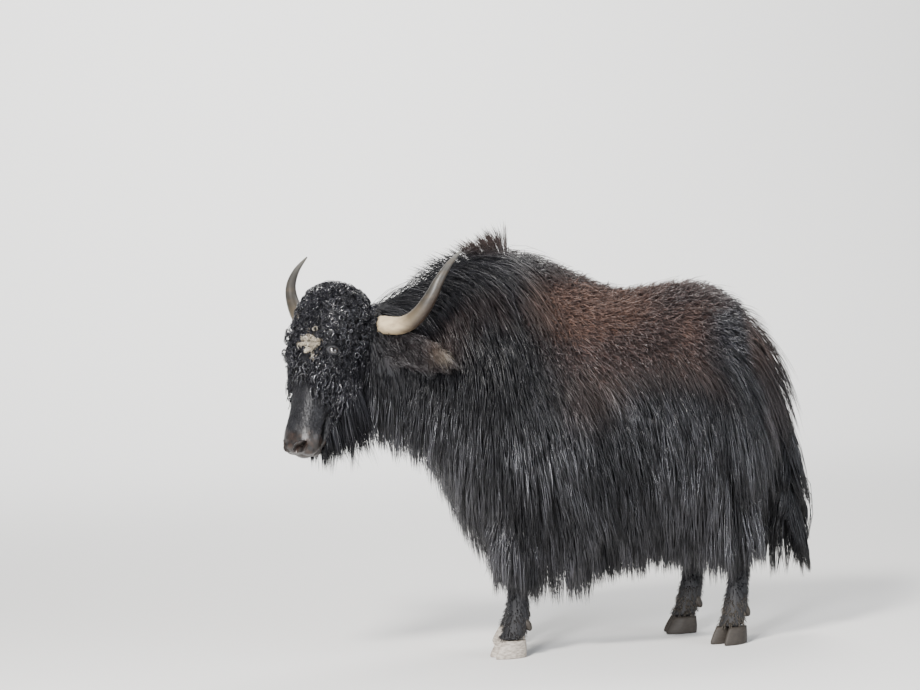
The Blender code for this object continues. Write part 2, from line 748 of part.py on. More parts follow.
def build_horn(side, name, grow=0.0, count=None):
    """A horn that leaves the head sideways, sweeps up and curves back to its tip."""
    rows = filled_in(HORN, HORN_STEPS)[:count]
    points = [POLL + HEAD_LEFT * (a * SIDES[side]) + FORWARD * ahead + UP * up for a, ahead, up, _ in rows]
    rings = []
    for k, point in enumerate(points):
        way = (points[min(k + 1, len(points) - 1)] - points[max(k - 1, 0)]).normalized()
        across = way.cross(FORWARD).normalized()
        radius = rows[k][3] + grow
        start = point - way * (grow if k == 0 else 0)
        rings.append(oval(start, across, way.cross(across), radius, radius, radius, HORN_SIDES, 1.0, 1.0))
    return loft(name, rings)


def ear_ways(side):
    """Along the ear, up across it, and out of its open side, which faces forward."""
    aside, ahead, up = EAR_WAY
    along = (HEAD_LEFT * SIDES[side] * aside + FORWARD * ahead + UP * up).normalized()
    across = (UP - along * UP.dot(along)).normalized()
    open_way = along.cross(across)
    if open_way.dot(FORWARD) < 0:
        open_way = -open_way
    return along, across, open_way


def ear_half_width(u):
    return EAR_HALF_WIDTH * (0.36 + 0.64 * math.sin(math.pi * u**0.9)) * (1 - 0.9 * u**5)


def build_ear(side, name, grow=0.0):
    """A cupped leaf with a short round stub that sits in the head."""
    s, a, d = EAR_ROOT
    root = head_point(s, a * SIDES[side], d)
    along, across, open_way = ear_ways(side)
    rings = []
    for i in range(EAR_STEPS + 1):
        u = i / EAR_STEPS
        half = ear_half_width(u) + grow
        base = root + along * (EAR_START - grow + (EAR_LENGTH - EAR_START + 2 * grow) * u)
        base -= across * (EAR_DROOP * u * u)
        faces = {}
        for wall in (-1, 1):
            faces[wall] = [
                base
                + across * (half * v)
                - open_way * (EAR_CUP * half * (1 - v * v) + wall * (EAR_THICKNESS / 2 + EAR_ROOM * grow))
                for v in (-1, -0.6, 0, 0.6, 1)
            ]
        rings.append(faces[-1] + faces[1][::-1])
    leaf = loft(name, rings)
    forward, out = EAR_STUB_PLACE
    radii = [radius + grow for radius in EAR_STUB]
    pieces = [ball("stub", root + along * forward + open_way * out, (across, open_way, along), radii, 8, 6)]
    for u in EAR_FRINGE:
        edge = root + along * (EAR_LENGTH * u) - across * (EAR_DROOP * u * u + ear_half_width(u) * 0.8)
        path = [
            edge - across * (EAR_FRINGE_LENGTH * t) + along * (0.018 * t * t)
            for t in (-0.1, 0.45, 1)
        ]
        pieces.append(lock(path, along, EAR_FRINGE_WIDTH, EAR_FRINGE_THICKNESS, grow))
    return combined(leaf, pieces)


def curls(rng):
    """Rounded clumps set close over the forehead, the poll and the cheeks."""
    clumps = []
    first, last = CURL_TURNS
    for row, s in enumerate(CURL_ROWS):
        _, half, front, behind = row_at(SKULL, s)
        for k in range(CURL_COUNT):
            turn = first + (last - first) * (k + 0.5 * (row % 2)) / (CURL_COUNT - 0.5)
            angle = math.radians(turn + rng.uniform(-3, 3))
            c, d = math.cos(angle), math.sin(angle)
            place = head_point(
                s + rng.uniform(-0.006, 0.006),
                half * math.copysign(abs(c) ** SKULL_PEAK, c),
                (front if d > 0 else behind) * d,
            )
            if min((place - eye_middle(side)).length for side in SIDES) < CURL_CLEAR_OF_EYE:
                continue
            out = (HEAD_LEFT * c + FACE_OUT * d).normalized()
            across = NOSE_WAY.cross(out)
            wide, high = (size * rng.uniform(0.88, 1.1) for size in CURL_SIZE)
            clumps.append(ball("curl", place, (NOSE_WAY, across, out), (wide, wide, high), 6, 4))
    return clumps


def build_nostril(side):
    s, a, d = NOSTRIL_PLACE
    inwards = (HEAD_LEFT * SIDES[side] * 0.55 + FACE_OUT * 0.80 + NOSE_WAY * 0.25).normalized()
    along = NOSE_WAY * 0.8 - FACE_OUT * 0.2 + HEAD_LEFT * SIDES[side] * 0.3
    along = (along - inwards * along.dot(inwards)).normalized()
    place = head_point(s, a * SIDES[side], d)
    return ball("nostril", place, (along, inwards.cross(along), inwards), NOSTRIL_SIZE, 8, 6)


def build_head(trunk, rng):
    nape = halved(copy_of(trunk, "nape"), *cut_plane(HEAD_CUT, 1))
    pieces = [build_jaw(), nape]
    pieces += [build_lid(side, lid) for side in SIDES for lid in LID_RISE]
    pieces += curls(rng) + jaw_locks(rng) + hung_locks(THROAT_LOCKS, rng)
    head = combined(build_skull(), pieces)
    halved(head, *cut_plane(HEAD_CUT, 1))
    cutters = []
    for side in SIDES:
        radii = [EYE_RADIUS + ROOM] * 3
        cutters.append(ball("socket", eye_middle(side), (HEAD_LEFT, FORWARD, UP), radii, 10, 6))
        cutters.append(build_nostril(side))
        cutters.append(build_horn(side, "horn_socket", ROOM, HORN_SOCKET_ROWS))
        cutters.append(build_ear(side, "ear_socket", ROOM))
    return combined(head, cutters, "DIFFERENCE")


def finished(objects, material):
    for obj in objects:
        obj.data.materials.clear()
        obj.data.materials.append(material)


def main():
    clear_scene()
    rng = random.Random(SEED)
    trunk = build_trunk()
    head = build_head(trunk, rng)
    neck = combined(copy_of(trunk, "neck"), neck_locks(rng))
    halved(neck, *cut_plane(NECK_CUT, 1))
    halved(neck, *cut_plane(HEAD_CUT, -1))
    torso = copy_of(trunk, "torso")
    coat = flank_locks(rng) + hung_locks(CHEST_LOCKS, rng) + hung_locks(THIGH_LOCKS, rng) + crest_locks(rng)
    combined(torso, coat)
    halved(torso, *cut_plane(NECK_CUT, -1))
    bpy.data.objects.remove(trunk)
    tail = combined(build_tail("tail"), tail_locks(rng))

    grooves = [build_ear("left", "ear_groove", ROOM), build_horn("left", "horn_groove", ROOM)]
    combined(neck, grooves, "DIFFERENCE")
    sockets = [build_leg(foot, "leg_socket", ROOM) for foot in FEET]
    sockets.append(build_tail("tail_socket", ROOM))
    sockets.append(build_ear("left", "ear_groove", ROOM))
    combined(torso, sockets, "DIFFERENCE")

    legs, claws = [], []
    for foot in FEET:
        leg = build_leg(foot, "leg_" + foot)
        combined(leg, [build_dewclaw(foot, side, "pit", ROOM) for side in SIDES], "DIFFERENCE")
        legs.append(leg)
        for side in SIDES:
            claws.append(build_claw(foot, side))
            claws.append(build_dewclaw(foot, side, f"dewclaw_{foot}_{side}"))
    ears = [build_ear(side, "ear_" + side) for side in SIDES]
    horns = [build_horn(side, "horn_" + side) for side in SIDES]
    eyes = [
        ball("eye_" + side, eye_middle(side), (HEAD_LEFT, FORWARD, UP), [EYE_RADIUS] * 3, 10, 6)
        for side in SIDES
    ]

    finished([torso, neck, head, tail] + legs + ears, new_material("coat", (0.020, 0.018, 0.020), 0.75))
    finished(horns, new_material("horn", (0.42, 0.36, 0.29), 0.45))
    finished(claws, new_material("claw", (0.30, 0.26, 0.22), 0.60))
    finished(eyes, new_material("eye", (0.020, 0.012, 0.008), 0.10))


main()
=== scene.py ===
# %% [markdown]
# # A yak with a long black coat
#
# The animal stands still on four hooves, its head turned to its left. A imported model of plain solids
# already holds its size and pose. This script dresses that model: one skin over the whole body, a coat of
# many thin locks on the skin, and horns, hooves and eyes as pieces of their own.
#
# Metres are used throughout, +Z is up, the animal faces -X and its left side is -Y.

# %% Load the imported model
import math
import time

import bmesh
import bpy
import numpy as np
from mathutils import Matrix, Vector
from mathutils.bvhtree import BVHTree
from mathutils.kdtree import KDTree


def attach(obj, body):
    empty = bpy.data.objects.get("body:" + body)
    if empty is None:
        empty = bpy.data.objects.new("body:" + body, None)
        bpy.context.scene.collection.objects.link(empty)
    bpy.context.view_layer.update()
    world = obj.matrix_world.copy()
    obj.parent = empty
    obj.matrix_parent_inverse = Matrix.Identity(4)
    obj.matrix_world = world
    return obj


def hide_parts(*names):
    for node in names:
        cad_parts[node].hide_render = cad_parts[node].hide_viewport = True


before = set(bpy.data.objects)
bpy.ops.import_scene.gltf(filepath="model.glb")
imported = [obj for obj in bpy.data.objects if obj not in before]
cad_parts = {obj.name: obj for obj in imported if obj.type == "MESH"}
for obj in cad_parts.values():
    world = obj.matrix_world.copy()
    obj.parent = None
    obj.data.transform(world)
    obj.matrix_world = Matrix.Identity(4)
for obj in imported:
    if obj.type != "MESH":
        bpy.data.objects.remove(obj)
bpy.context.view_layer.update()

START = time.time()
UP = Vector((0, 0, 1))
SIDES = {"left": 1, "right": -1}

# %% [markdown]
# ## Camera, light and floor
#
# The camera comes first, because it decides how fine everything has to be. It stands ten metres off, about
# as high as the hump and a little towards the head, with a long lens, which keeps the legs parallel. The
# horizon leans by a small angle, as it does when a camera is held on sloping ground. A single matrix of the
# camera's own right, up and back directions sets all of that at once, where angles would need trying.

# %% Camera
CAMERA_TURN = math.radians(-8)
CAMERA_RISE = math.radians(2.0)
CAMERA_LEAN = math.radians(2.5)
CAMERA_DISTANCE = 10.0
CAMERA_LENS = 112.7
CAMERA_ASIDE = -0.296
CAMERA_HEIGHT = 1.066


def camera_axes(turn, rise, lean):
    """The camera's right, up and back directions."""
    back = Vector((math.sin(turn) * math.cos(rise), -math.cos(turn) * math.cos(rise), math.sin(rise)))
    level = Vector((math.cos(turn), math.sin(turn), 0))
    right = level * math.cos(lean) - back.cross(level) * math.sin(lean)
    return right, back.cross(right), back, level


def new_object(name, data):
    made = bpy.data.objects.new(name, data)
    bpy.context.scene.collection.objects.link(made)
    return made


right, up, back, level = camera_axes(CAMERA_TURN, CAMERA_RISE, CAMERA_LEAN)
camera = new_object("camera", bpy.data.cameras.new("camera"))
camera.data.lens = CAMERA_LENS
target = level * CAMERA_ASIDE + UP * CAMERA_HEIGHT
camera.matrix_world = (
    Matrix.Translation(target + back * CAMERA_DISTANCE) @ Matrix((right, up, back)).transposed().to_4x4()
)
bpy.context.scene.camera = camera
print("camera at", [round(v, 2) for v in camera.matrix_world.translation])

# %% [markdown]
# Black hair shows its shape almost only by its gloss, so the light matters more than the colour. A key lamp
# high on the left of the view draws the main sheen, and a front lamp lights the face and the legs. A weak
# fill reaches the dark side, and a rim lamp behind the back parts the coat from the backdrop. The last lamp
# lights only the wall. All are discs, which have soft edges, and the camera doesn't see them.

# %% Lamps
# Place, diameter, power and colour.
LAMPS = {
    "key": ((-3.0, -4.6, 5.2), 1.5, 930, (1.0, 0.97, 0.93)),
    "front": ((-3.2, -7.0, 2.1), 1.2, 860, (0.98, 0.98, 1.0)),
    "fill": ((4.2, -4.6, 1.8), 3.0, 190, (0.86, 0.92, 1.0)),
    "rim": ((1.2, 2.6, 5.0), 2.6, 200, (1.0, 0.98, 0.95)),
    "wall": ((0.0, 8.0, 11.0), 8.0, 3400, (1.0, 1.0, 1.0)),
}
LAMP_AIM = {"wall": (0.0, 18.0, 4.0)}
ANIMAL_MIDDLE = (0.0, 0.0, 0.75)
for name, (place, size, power, colour) in LAMPS.items():
    light = bpy.data.lights.new(name, "AREA")
    light.shape = "DISK"
    light.size, light.energy, light.color = size, power, colour
    lamp = new_object(name, light)
    lamp.visible_camera = False
    aim = (Vector(place) - Vector(LAMP_AIM.get(name, ANIMAL_MIDDLE))).to_track_quat("Z", "Y")
    lamp.matrix_world = Matrix.Translation(Vector(place)) @ aim.to_matrix().to_4x4()
print("lamps:", len(LAMPS))

# %% [markdown]
# A pale sky gives the cool tone of the rest. The floor curves up into a wall far behind the animal, so that
# no horizon cuts the picture. It is one face: its far edge is extruded upwards, and the corner is bevelled.

# %% Sky and floor
world = bpy.data.worlds.new("sky")
world.use_nodes = True
world.node_tree.nodes["Background"].inputs["Color"].default_value = (0.80, 0.86, 0.94, 1)
world.node_tree.nodes["Background"].inputs["Strength"].default_value = 0.45
bpy.context.scene.world = world

FLOOR_SIZE = 64.0
WALL_PLACE = 18.0
WALL_HEIGHT = 26.0
COVE_RADIUS = 9.0
NEAR_WALL = WALL_PLACE - 0.1


def new_piece(name, bm):
    """An object from a bmesh, shaded smooth."""
    mesh = bpy.data.meshes.new(name)
    bm.to_mesh(mesh)
    bm.free()
    mesh.polygons.foreach_set("use_smooth", [True] * len(mesh.polygons))
    return new_object(name, mesh)


bm = bmesh.new()
bmesh.ops.create_grid(bm, x_segments=1, y_segments=1, size=FLOOR_SIZE / 2)
bmesh.ops.translate(bm, verts=bm.verts, vec=(0, WALL_PLACE - FLOOR_SIZE / 2, 0))
far_edge = [e for e in bm.edges if all(v.co.y > NEAR_WALL for v in e.verts)]
raised = bmesh.ops.extrude_edge_only(bm, edges=far_edge)["geom"]
wall_top = [part for part in raised if isinstance(part, bmesh.types.BMVert)]
bmesh.ops.translate(bm, verts=wall_top, vec=(0, 0, WALL_HEIGHT))
bend = [e for e in bm.edges if all(v.co.y > NEAR_WALL and v.co.z < 0.1 for v in e.verts)]
bmesh.ops.bevel(bm, geom=bend, offset=COVE_RADIUS, segments=24, profile=0.5, affect="EDGES", material=-1)
floor = new_piece("floor", bm)
floor_finish = bpy.data.materials.new("floor")
floor_finish.use_nodes = True
floor_shader = floor_finish.node_tree.nodes["Principled BSDF"]
floor_shader.inputs["Base Color"].default_value = (0.78, 0.77, 0.75, 1)
floor_shader.inputs["Roughness"].default_value = 0.9
floor.data.materials.append(floor_finish)
print("floor faces:", len(floor.data.polygons))

# %% [markdown]
# ## The body's sizes
#
# Every form of the body is a row of oval sections. A table holds them: where a section sits and how far
# it reaches. The tables are those of the solids, so the dressed animal keeps their shape. The skin lies
# inside them by the depth of the coat, which is a few centimetres on the trunk and nothing on the nose.

# %% Tables of sections
# x, y, yaw, underside, widest height, top, half width, peak. Peak above 1 narrows the top to a ridge.
TRUNK = [
    (0.742, 0.00, 0, 0.985, 1.035, 1.085, 0.055, 1.00),
    (0.722, 0.00, 0, 0.78, 0.92, 1.120, 0.135, 1.00),
    (0.690, 0.00, 0, 0.62, 0.86, 1.160, 0.200, 1.00),
    (0.640, 0.00, 0, 0.50, 0.82, 1.203, 0.260, 1.05),
    (0.540, 0.00, 0, 0.43, 0.78, 1.250, 0.318, 1.10),
    (0.400, 0.00, 0, 0.41, 0.76, 1.245, 0.340, 1.10),
    (0.240, 0.00, 0, 0.40, 0.75, 1.240, 0.352, 1.15),
    (0.080, 0.00, 0, 0.40, 0.76, 1.318, 0.356, 1.35),
    (-0.060, 0.00, 0, 0.40, 0.78, 1.372, 0.350, 1.45),
    (-0.180, 0.00, 0, 0.43, 0.82, 1.392, 0.330, 1.45),
    (-0.300, 0.00, 1, 0.52, 0.88, 1.372, 0.272, 1.30),
    (-0.400, -0.002, 4, 0.67, 0.94, 1.325, 0.222, 1.20),
    (-0.500, -0.012, 9, 0.745, 0.99, 1.275, 0.180, 1.10),
    (-0.590, -0.040, 17, 0.79, 1.01, 1.240, 0.160, 1.00),
    (-0.670, -0.080, 28, 0.84, 1.02, 1.200, 0.140, 1.00),
]
UNDERSIDE_ROUNDNESS = 0.82
# Hem of the long coat: x along the body, and height of the tips.
HEM = np.array([
    (-0.60, 0.68), (-0.50, 0.665), (-0.42, 0.62), (-0.38, 0.49), (-0.33, 0.36), (-0.27, 0.28),
    (-0.20, 0.252), (-0.12, 0.245), (-0.03, 0.200), (0.06, 0.195), (0.13, 0.262), (0.26, 0.262),
    (0.38, 0.278), (0.50, 0.250), (0.62, 0.237), (0.74, 0.300),
])

# Head: a frame at the poll, with s down the face, a to the animal's left and d out of the forehead.
POLL = Vector((-0.744, -0.092, 1.259))
HEAD_YAW = math.radians(37)
FACE_TILT = math.radians(18)
FORWARD = Vector((-math.cos(HEAD_YAW), -math.sin(HEAD_YAW), 0))
HEAD_LEFT = UP.cross(FORWARD)
NOSE_WAY = -UP * math.cos(FACE_TILT) + FORWARD * math.sin(FACE_TILT)
FACE_OUT = FORWARD * math.cos(FACE_TILT) + UP * math.sin(FACE_TILT)
# Skull and upper jaw: s, half width, depth in front, depth behind, and depth of the coat.
SKULL = [
    (-0.035, 0.050, 0.010, 0.085, 0.016),
    (-0.010, 0.100, 0.050, 0.135, 0.016),
    (0.050, 0.130, 0.080, 0.180, 0.016),
    (0.120, 0.138, 0.092, 0.200, 0.018),
    (0.200, 0.128, 0.094, 0.200, 0.019),
    (0.270, 0.106, 0.086, 0.170, 0.014),
    (0.340, 0.082, 0.074, 0.110, 0.008),
    (0.400, 0.070, 0.068, 0.060, 0.005),
    (0.450, 0.073, 0.066, 0.030, 0.004),
    (0.500, 0.078, 0.066, 0.026, 0.003),
    (0.530, 0.066, 0.054, 0.018, 0.000),
    (0.545, 0.038, 0.030, 0.005, 0.000),
]
SKULL_PEAK = 0.86
# Lower jaw: s, half width, front and back of the section, both as depth d.
JAW = [
    (0.240, 0.080, -0.060, -0.180),
    (0.300, 0.072, -0.050, -0.150),
    (0.370, 0.060, -0.036, -0.115),
    (0.430, 0.056, -0.030, -0.088),
    (0.480, 0.056, -0.031, -0.078),
    (0.512, 0.046, -0.031, -0.068),
    (0.528, 0.026, -0.034, -0.056),
]
EYE_RADIUS = 0.021
EYE_PLACE = (0.205, 0.103, 0.042)
EYE_GAZE = (0.90, 0.42)
EAR_ROOT = (0.140, 0.144, -0.140)
EAR_WAY = (0.94, -0.30, -0.14)
EAR_LENGTH = 0.290
EAR_START = 0.010
EAR_HALF_WIDTH = 0.062
EAR_THICKNESS = 0.008
EAR_CUP = 0.50
EAR_DROOP = 0.030

# Tail: x and height of the dock's middle line, then half width across and half depth.
TAIL = [
    (0.680, 1.050, 0.034, 0.032),
    (0.728, 1.042, 0.036, 0.034),
    (0.762, 0.985, 0.042, 0.034),
    (0.772, 0.890, 0.052, 0.036),
    (0.780, 0.770, 0.062, 0.040),
    (0.795, 0.640, 0.062, 0.042),
    (0.808, 0.540, 0.040, 0.030),
]
# Legs: height, shift back, half length and half width.
LEG_TOP = 0.475
ANKLE = 0.060
FRONT_LEG = [
    (LEG_TOP, 0.010, 0.078, 0.062), (0.400, 0.008, 0.068, 0.056), (0.320, 0.004, 0.054, 0.048),
    (0.240, 0.006, 0.043, 0.040), (0.170, 0.006, 0.044, 0.042), (0.125, 0.002, 0.052, 0.050),
    (0.090, -0.010, 0.050, 0.051), (ANKLE, -0.026, 0.054, 0.056),
]
HIND_LEG = [
    (LEG_TOP, -0.035, 0.092, 0.062), (0.410, 0.010, 0.072, 0.054), (0.350, 0.026, 0.058, 0.046),
    (0.270, 0.020, 0.049, 0.042), (0.190, 0.010, 0.048, 0.042), (0.130, -0.002, 0.054, 0.050),
    (0.092, -0.014, 0.051, 0.051), (ANKLE, -0.030, 0.055, 0.056),
]
# Feet: x, y, turn outwards in degrees, and the leg's table.
FEET = {
    "front_left": (-0.168, -0.172, 8, FRONT_LEG),
    "front_right": (-0.112, 0.172, 6, FRONT_LEG),
    "hind_left": (0.600, -0.165, 32, HIND_LEG),
    "hind_right": (0.512, 0.165, 5, HIND_LEG),
}
FLESH = ["torso", "neck", "head", "tail", "ear_left", "ear_right"] + ["leg_" + foot for foot in FEET]
print("sections:", len(TRUNK), "in the trunk,", len(SKULL), "in the skull")

# %% [markdown]
# A smooth curve through the rows of a table gives any number of sections between them. A Catmull-Rom
# curve passes through every row, so the body keeps the widths that the table states.


# %% Sections between the rows
def between(rows, t):
    """The row at place t of a table, on a smooth curve through all its rows."""
    last = len(rows) - 1
    i = min(int(t), last - 1)
    f = t - i
    a, b, c, d = (rows[max(0, min(last, i + k))] for k in (-1, 0, 1, 2))
    return [
        0.5 * (2 * q + (r - p) * f + (2 * p - 5 * q + 4 * r - s) * f * f + (3 * q - p - 3 * r + s) * f**3)
        for p, q, r, s in zip(a, b, c, d)
    ]


def filled_in(rows, steps):
    return [between(rows, k / steps) for k in range((len(rows) - 1) * steps + 1)]


def turned(yaw):
    """The way forward and the animal's left, for a section turned to the left by yaw degrees."""
    angle = math.radians(yaw)
    forward = Vector((-math.cos(angle), -math.sin(angle), 0))
    return forward, UP.cross(forward)


def head_point(s, a, d):
    return POLL + NOSE_WAY * s + HEAD_LEFT * a + FACE_OUT * d


print("middle of the trunk:", [round(v, 3) for v in between(TRUNK, 7)])

# %% [markdown]
# Each section starts as a circle from `create_circle`, is squeezed to its oval, and is turned into place.
# `bridge_loops` then joins every section to the next, and the two ends are closed. A spin would be quicker,
# but no part of an animal is round enough for it. The points keep the order in which the circles were made,
# which tells later how far along and how far round the form each of them lies.


# %% Forms from sections
def add_section(bm, sides, middle, across, along, half, low, high, peak=1.0, base=1.0):
    """One oval ring, low and high being its reach each way along the second direction."""
    verts = bmesh.ops.create_circle(bm, segments=sides, radius=1)["verts"]
    for vert in verts:
        power = peak if vert.co.y > 0 else base
        vert.co.x = math.copysign(abs(vert.co.x) ** power, vert.co.x) * half
        vert.co.y *= high if vert.co.y > 0 else low
    turn = Matrix((across, along, across.cross(along))).transposed().to_4x4()
    bmesh.ops.transform(bm, matrix=Matrix.Translation(middle) @ turn, verts=verts)
    return verts


def joined_sections(bm, rings):
    """Walls from each ring to the next, and a lid at both ends."""
    for pair in zip(rings, rings[1:]):
        edges = {e for ring in pair for v in ring for e in v.link_edges if e.other_vert(v) in set(ring)}
        bmesh.ops.bridge_loops(bm, edges=list(edges))
    for ring in (rings[0], rings[-1]):
        bmesh.ops.contextual_create(bm, geom=ring)
    bmesh.ops.recalc_face_normals(bm, faces=bm.faces)


FORM_SIDES = 40
form_points = {}


def keep_points(piece, steps):
    """Keeps the points of a form for the coat, with how far along and how far round each of them lies."""
    points = np.array([v.co for v in piece.data.vertices])
    order = np.arange(len(points))
    wrap = np.stack([order // FORM_SIDES / steps, order % FORM_SIDES / FORM_SIDES], 1)
    form_points[piece.name] = points, wrap


def new_form(name, sections):
    """A closed form through its sections."""
    bm = bmesh.new()
    joined_sections(bm, [add_section(bm, FORM_SIDES, *section) for section in sections])
    piece = new_piece(name, bm)
    keep_points(piece, len(sections) - 1)
    return piece


print("points round a form:", FORM_SIDES)

# %% [markdown]
# ## One skin
#
# The trunk runs from the rump to inside the head. Its sections lose the depth of the coat on each side.

# %% Trunk, skull and jaw
COAT_DEPTH = 0.026
BACK_DEPTH = 0.020
BELLY_DEPTH = 0.050


def trunk_section(row):
    x, y, yaw, low, middle, high, half, peak = row
    _, left = turned(yaw)
    lower = max(0.02, middle - low - BELLY_DEPTH)
    upper = max(0.02, high - middle - BACK_DEPTH)
    half = max(0.03, half - COAT_DEPTH)
    return Vector((x, y, middle)), left, UP, half, lower, upper, peak, UNDERSIDE_ROUNDNESS


def skull_section(row):
    s, half, front, behind, depth = row
    half, behind, front = half - depth, behind - depth, front - depth
    return head_point(s, 0, 0), HEAD_LEFT, FACE_OUT, half, behind, front, SKULL_PEAK, UNDERSIDE_ROUNDNESS


def jaw_section(row):
    s, half, front, behind = row
    deep = (front - behind) / 2
    place = head_point(s, 0, (front + behind) / 2)
    return place, HEAD_LEFT, FACE_OUT, half - 0.003, deep - 0.002, deep, SKULL_PEAK, UNDERSIDE_ROUNDNESS


trunk = new_form("trunk", [trunk_section(row) for row in filled_in(TRUNK, 4)])
skull = new_form("skull", [skull_section(row) for row in filled_in(SKULL, 4)])
jaw = new_form("jaw", [jaw_section(row) for row in filled_in(JAW, 4)])
print("trunk points:", len(trunk.data.vertices))

# %% [markdown]
# The legs and the tail are forms of the same kind. A leg turns outwards a little on its way down, because
# the foot points outwards, and its hair is short, so the skin is only millimetres inside the solid.

# %% Legs and tail
LEG_DEPTH = 0.008
TAIL_DEPTH = 0.012


def foot_ways(foot, share=1.0):
    """The way a foot points and its left. Share runs from 0 at the leg's top to 1 at the foot."""
    _, y, turn, _ = FEET[foot]
    angle = math.radians(turn) * share
    ahead = Vector((-math.cos(angle), math.copysign(math.sin(angle), y), 0))
    return ahead, UP.cross(ahead)


def leg_sections(foot):
    x, y, _, rows = FEET[foot]
    sections = []
    for z, shift, length, width in filled_in([(LEG_TOP + 0.06, *rows[0][1:])] + rows, 4):
        ahead, left = foot_ways(foot, max(0, LEG_TOP - z) / (LEG_TOP - ANKLE))
        place = Vector((x, y, z)) - ahead * shift
        sections.append((place, left, ahead, width - LEG_DEPTH, length - LEG_DEPTH, length - LEG_DEPTH))
    return sections


def tail_sections():
    rows = filled_in(TAIL, 4)
    sections = []
    for k, (x, z, half, deep) in enumerate(rows):
        ahead, behind = rows[min(k + 1, len(rows) - 1)], rows[max(k - 1, 0)]
        way = Vector((ahead[0] - behind[0], 0, ahead[1] - behind[1])).normalized()
        across = Vector((0, -1, 0))
        deep, half = deep - TAIL_DEPTH, half - TAIL_DEPTH
        sections.append((Vector((x, 0, z)), across, way.cross(across), half, deep, deep))
    return sections


legs = [new_form("leg_form_" + foot, leg_sections(foot)) for foot in FEET]
tail = new_form("tail_form", tail_sections())
print("legs:", len(legs))

# %% [markdown]
# An ear is a leaf rolled into a cup, so its sections are crescents and not ovals. The circle is bent: its
# points are moved back by the square of how far across they lie.

# %% Ears
EAR_STEPS = 16


def ear_ways(side):
    """Along the ear, up across it, and out of its open side."""
    aside, ahead, rise = EAR_WAY
    along = (HEAD_LEFT * SIDES[side] * aside + FORWARD * ahead + UP * rise).normalized()
    across = (UP - along * UP.dot(along)).normalized()
    open_way = along.cross(across)
    return along, across, open_way * math.copysign(1, open_way.dot(FORWARD))


def ear_half_width(u):
    return EAR_HALF_WIDTH * (0.36 + 0.64 * math.sin(math.pi * u**0.9)) * (1 - 0.9 * u**5)


def ear_root(side):
    s, a, d = EAR_ROOT
    return head_point(s, a * SIDES[side], d)


def new_ear(side):
    along, across, open_way = ear_ways(side)
    bm = bmesh.new()
    rings = []
    for i in range(EAR_STEPS + 1):
        u = i / EAR_STEPS
        half = ear_half_width(u)
        place = ear_root(side) + along * (EAR_START + (EAR_LENGTH - EAR_START) * u)
        place -= across * (EAR_DROOP * u * u)
        ring = add_section(bm, FORM_SIDES, place, across, open_way, half, *[EAR_THICKNESS / 2] * 2)
        for vert in ring:
            v = (vert.co - place).dot(across) / half
            vert.co -= open_way * (EAR_CUP * half * (1 - v * v))
        rings.append(ring)
    joined_sections(bm, rings)
    piece = new_piece("ear_form_" + side, bm)
    keep_points(piece, EAR_STEPS)
    return piece


ears = [new_ear(side) for side in SIDES]
print("ear length:", EAR_LENGTH)

# %% [markdown]
# The nose and the eyes need small round forms on top: wings round the nostrils, lips, a chin, the bony ring
# of each eye, and lids. Spheres from `create_uvsphere`, stretched along three directions, are enough,
# because the next step melts all forms into one skin.


# %% Small forms of the face
def add_ball(bm, place, axes, radii, segments=20, rings=14):
    made = bmesh.ops.create_uvsphere(bm, u_segments=segments, v_segments=rings, radius=1)["verts"]
    shape = Matrix(axes).transposed().to_4x4() @ Matrix.Diagonal((*radii, 1))
    bmesh.ops.transform(bm, matrix=Matrix.Translation(place) @ shape, verts=made)


HEAD_AXES = (HEAD_LEFT, NOSE_WAY, HEAD_LEFT.cross(NOSE_WAY))


def gaze_of(side):
    aside, out = EYE_GAZE
    return (HEAD_LEFT * SIDES[side] * aside + FACE_OUT * out).normalized()


def eye_middle(side):
    s, a, d = EYE_PLACE
    return head_point(s, a * SIDES[side], d)


HORN_COLLAR = (0.074, 0.108, -0.110)
# s, a, d and the radii across, along the face and out of it.
FACE_FORMS = [
    (0.530, 0.000, 0.030, 0.046, 0.030, 0.034),      # nose pad
    (0.480, 0.000, 0.028, 0.048, 0.050, 0.038),      # bridge of the nose
    (0.540, 0.000, -0.008, 0.044, 0.026, 0.028),     # upper lip
    (0.528, 0.000, -0.050, 0.034, 0.022, 0.020),     # chin
]
FACE_FORM_PAIRS = [
    (0.524, 0.036, 0.026, 0.024, 0.030, 0.026),      # wing of the nostril
    (0.508, 0.046, -0.004, 0.025, 0.042, 0.026),     # lip at the side
    (0.537, 0.036, 0.010, 0.028, 0.022, 0.028),      # front of the upper lip
    (*HORN_COLLAR, 0.044, 0.050, 0.050),             # hairy collar round the root of the horn
    (0.155, 0.074, 0.042, 0.040, 0.036, 0.026),      # brow
    (0.300, 0.070, -0.070, 0.030, 0.080, 0.060),     # cheek muscle
]
LID_THICKNESS = 0.0052
LID_REACH = 0.0205
LID_RISE = {"upper": 0.0120, "lower": -0.0130}
LID_BALLS = 15
bm = bmesh.new()
for s, a, d, *radii in FACE_FORMS:
    add_ball(bm, head_point(s, a, d), HEAD_AXES, radii)
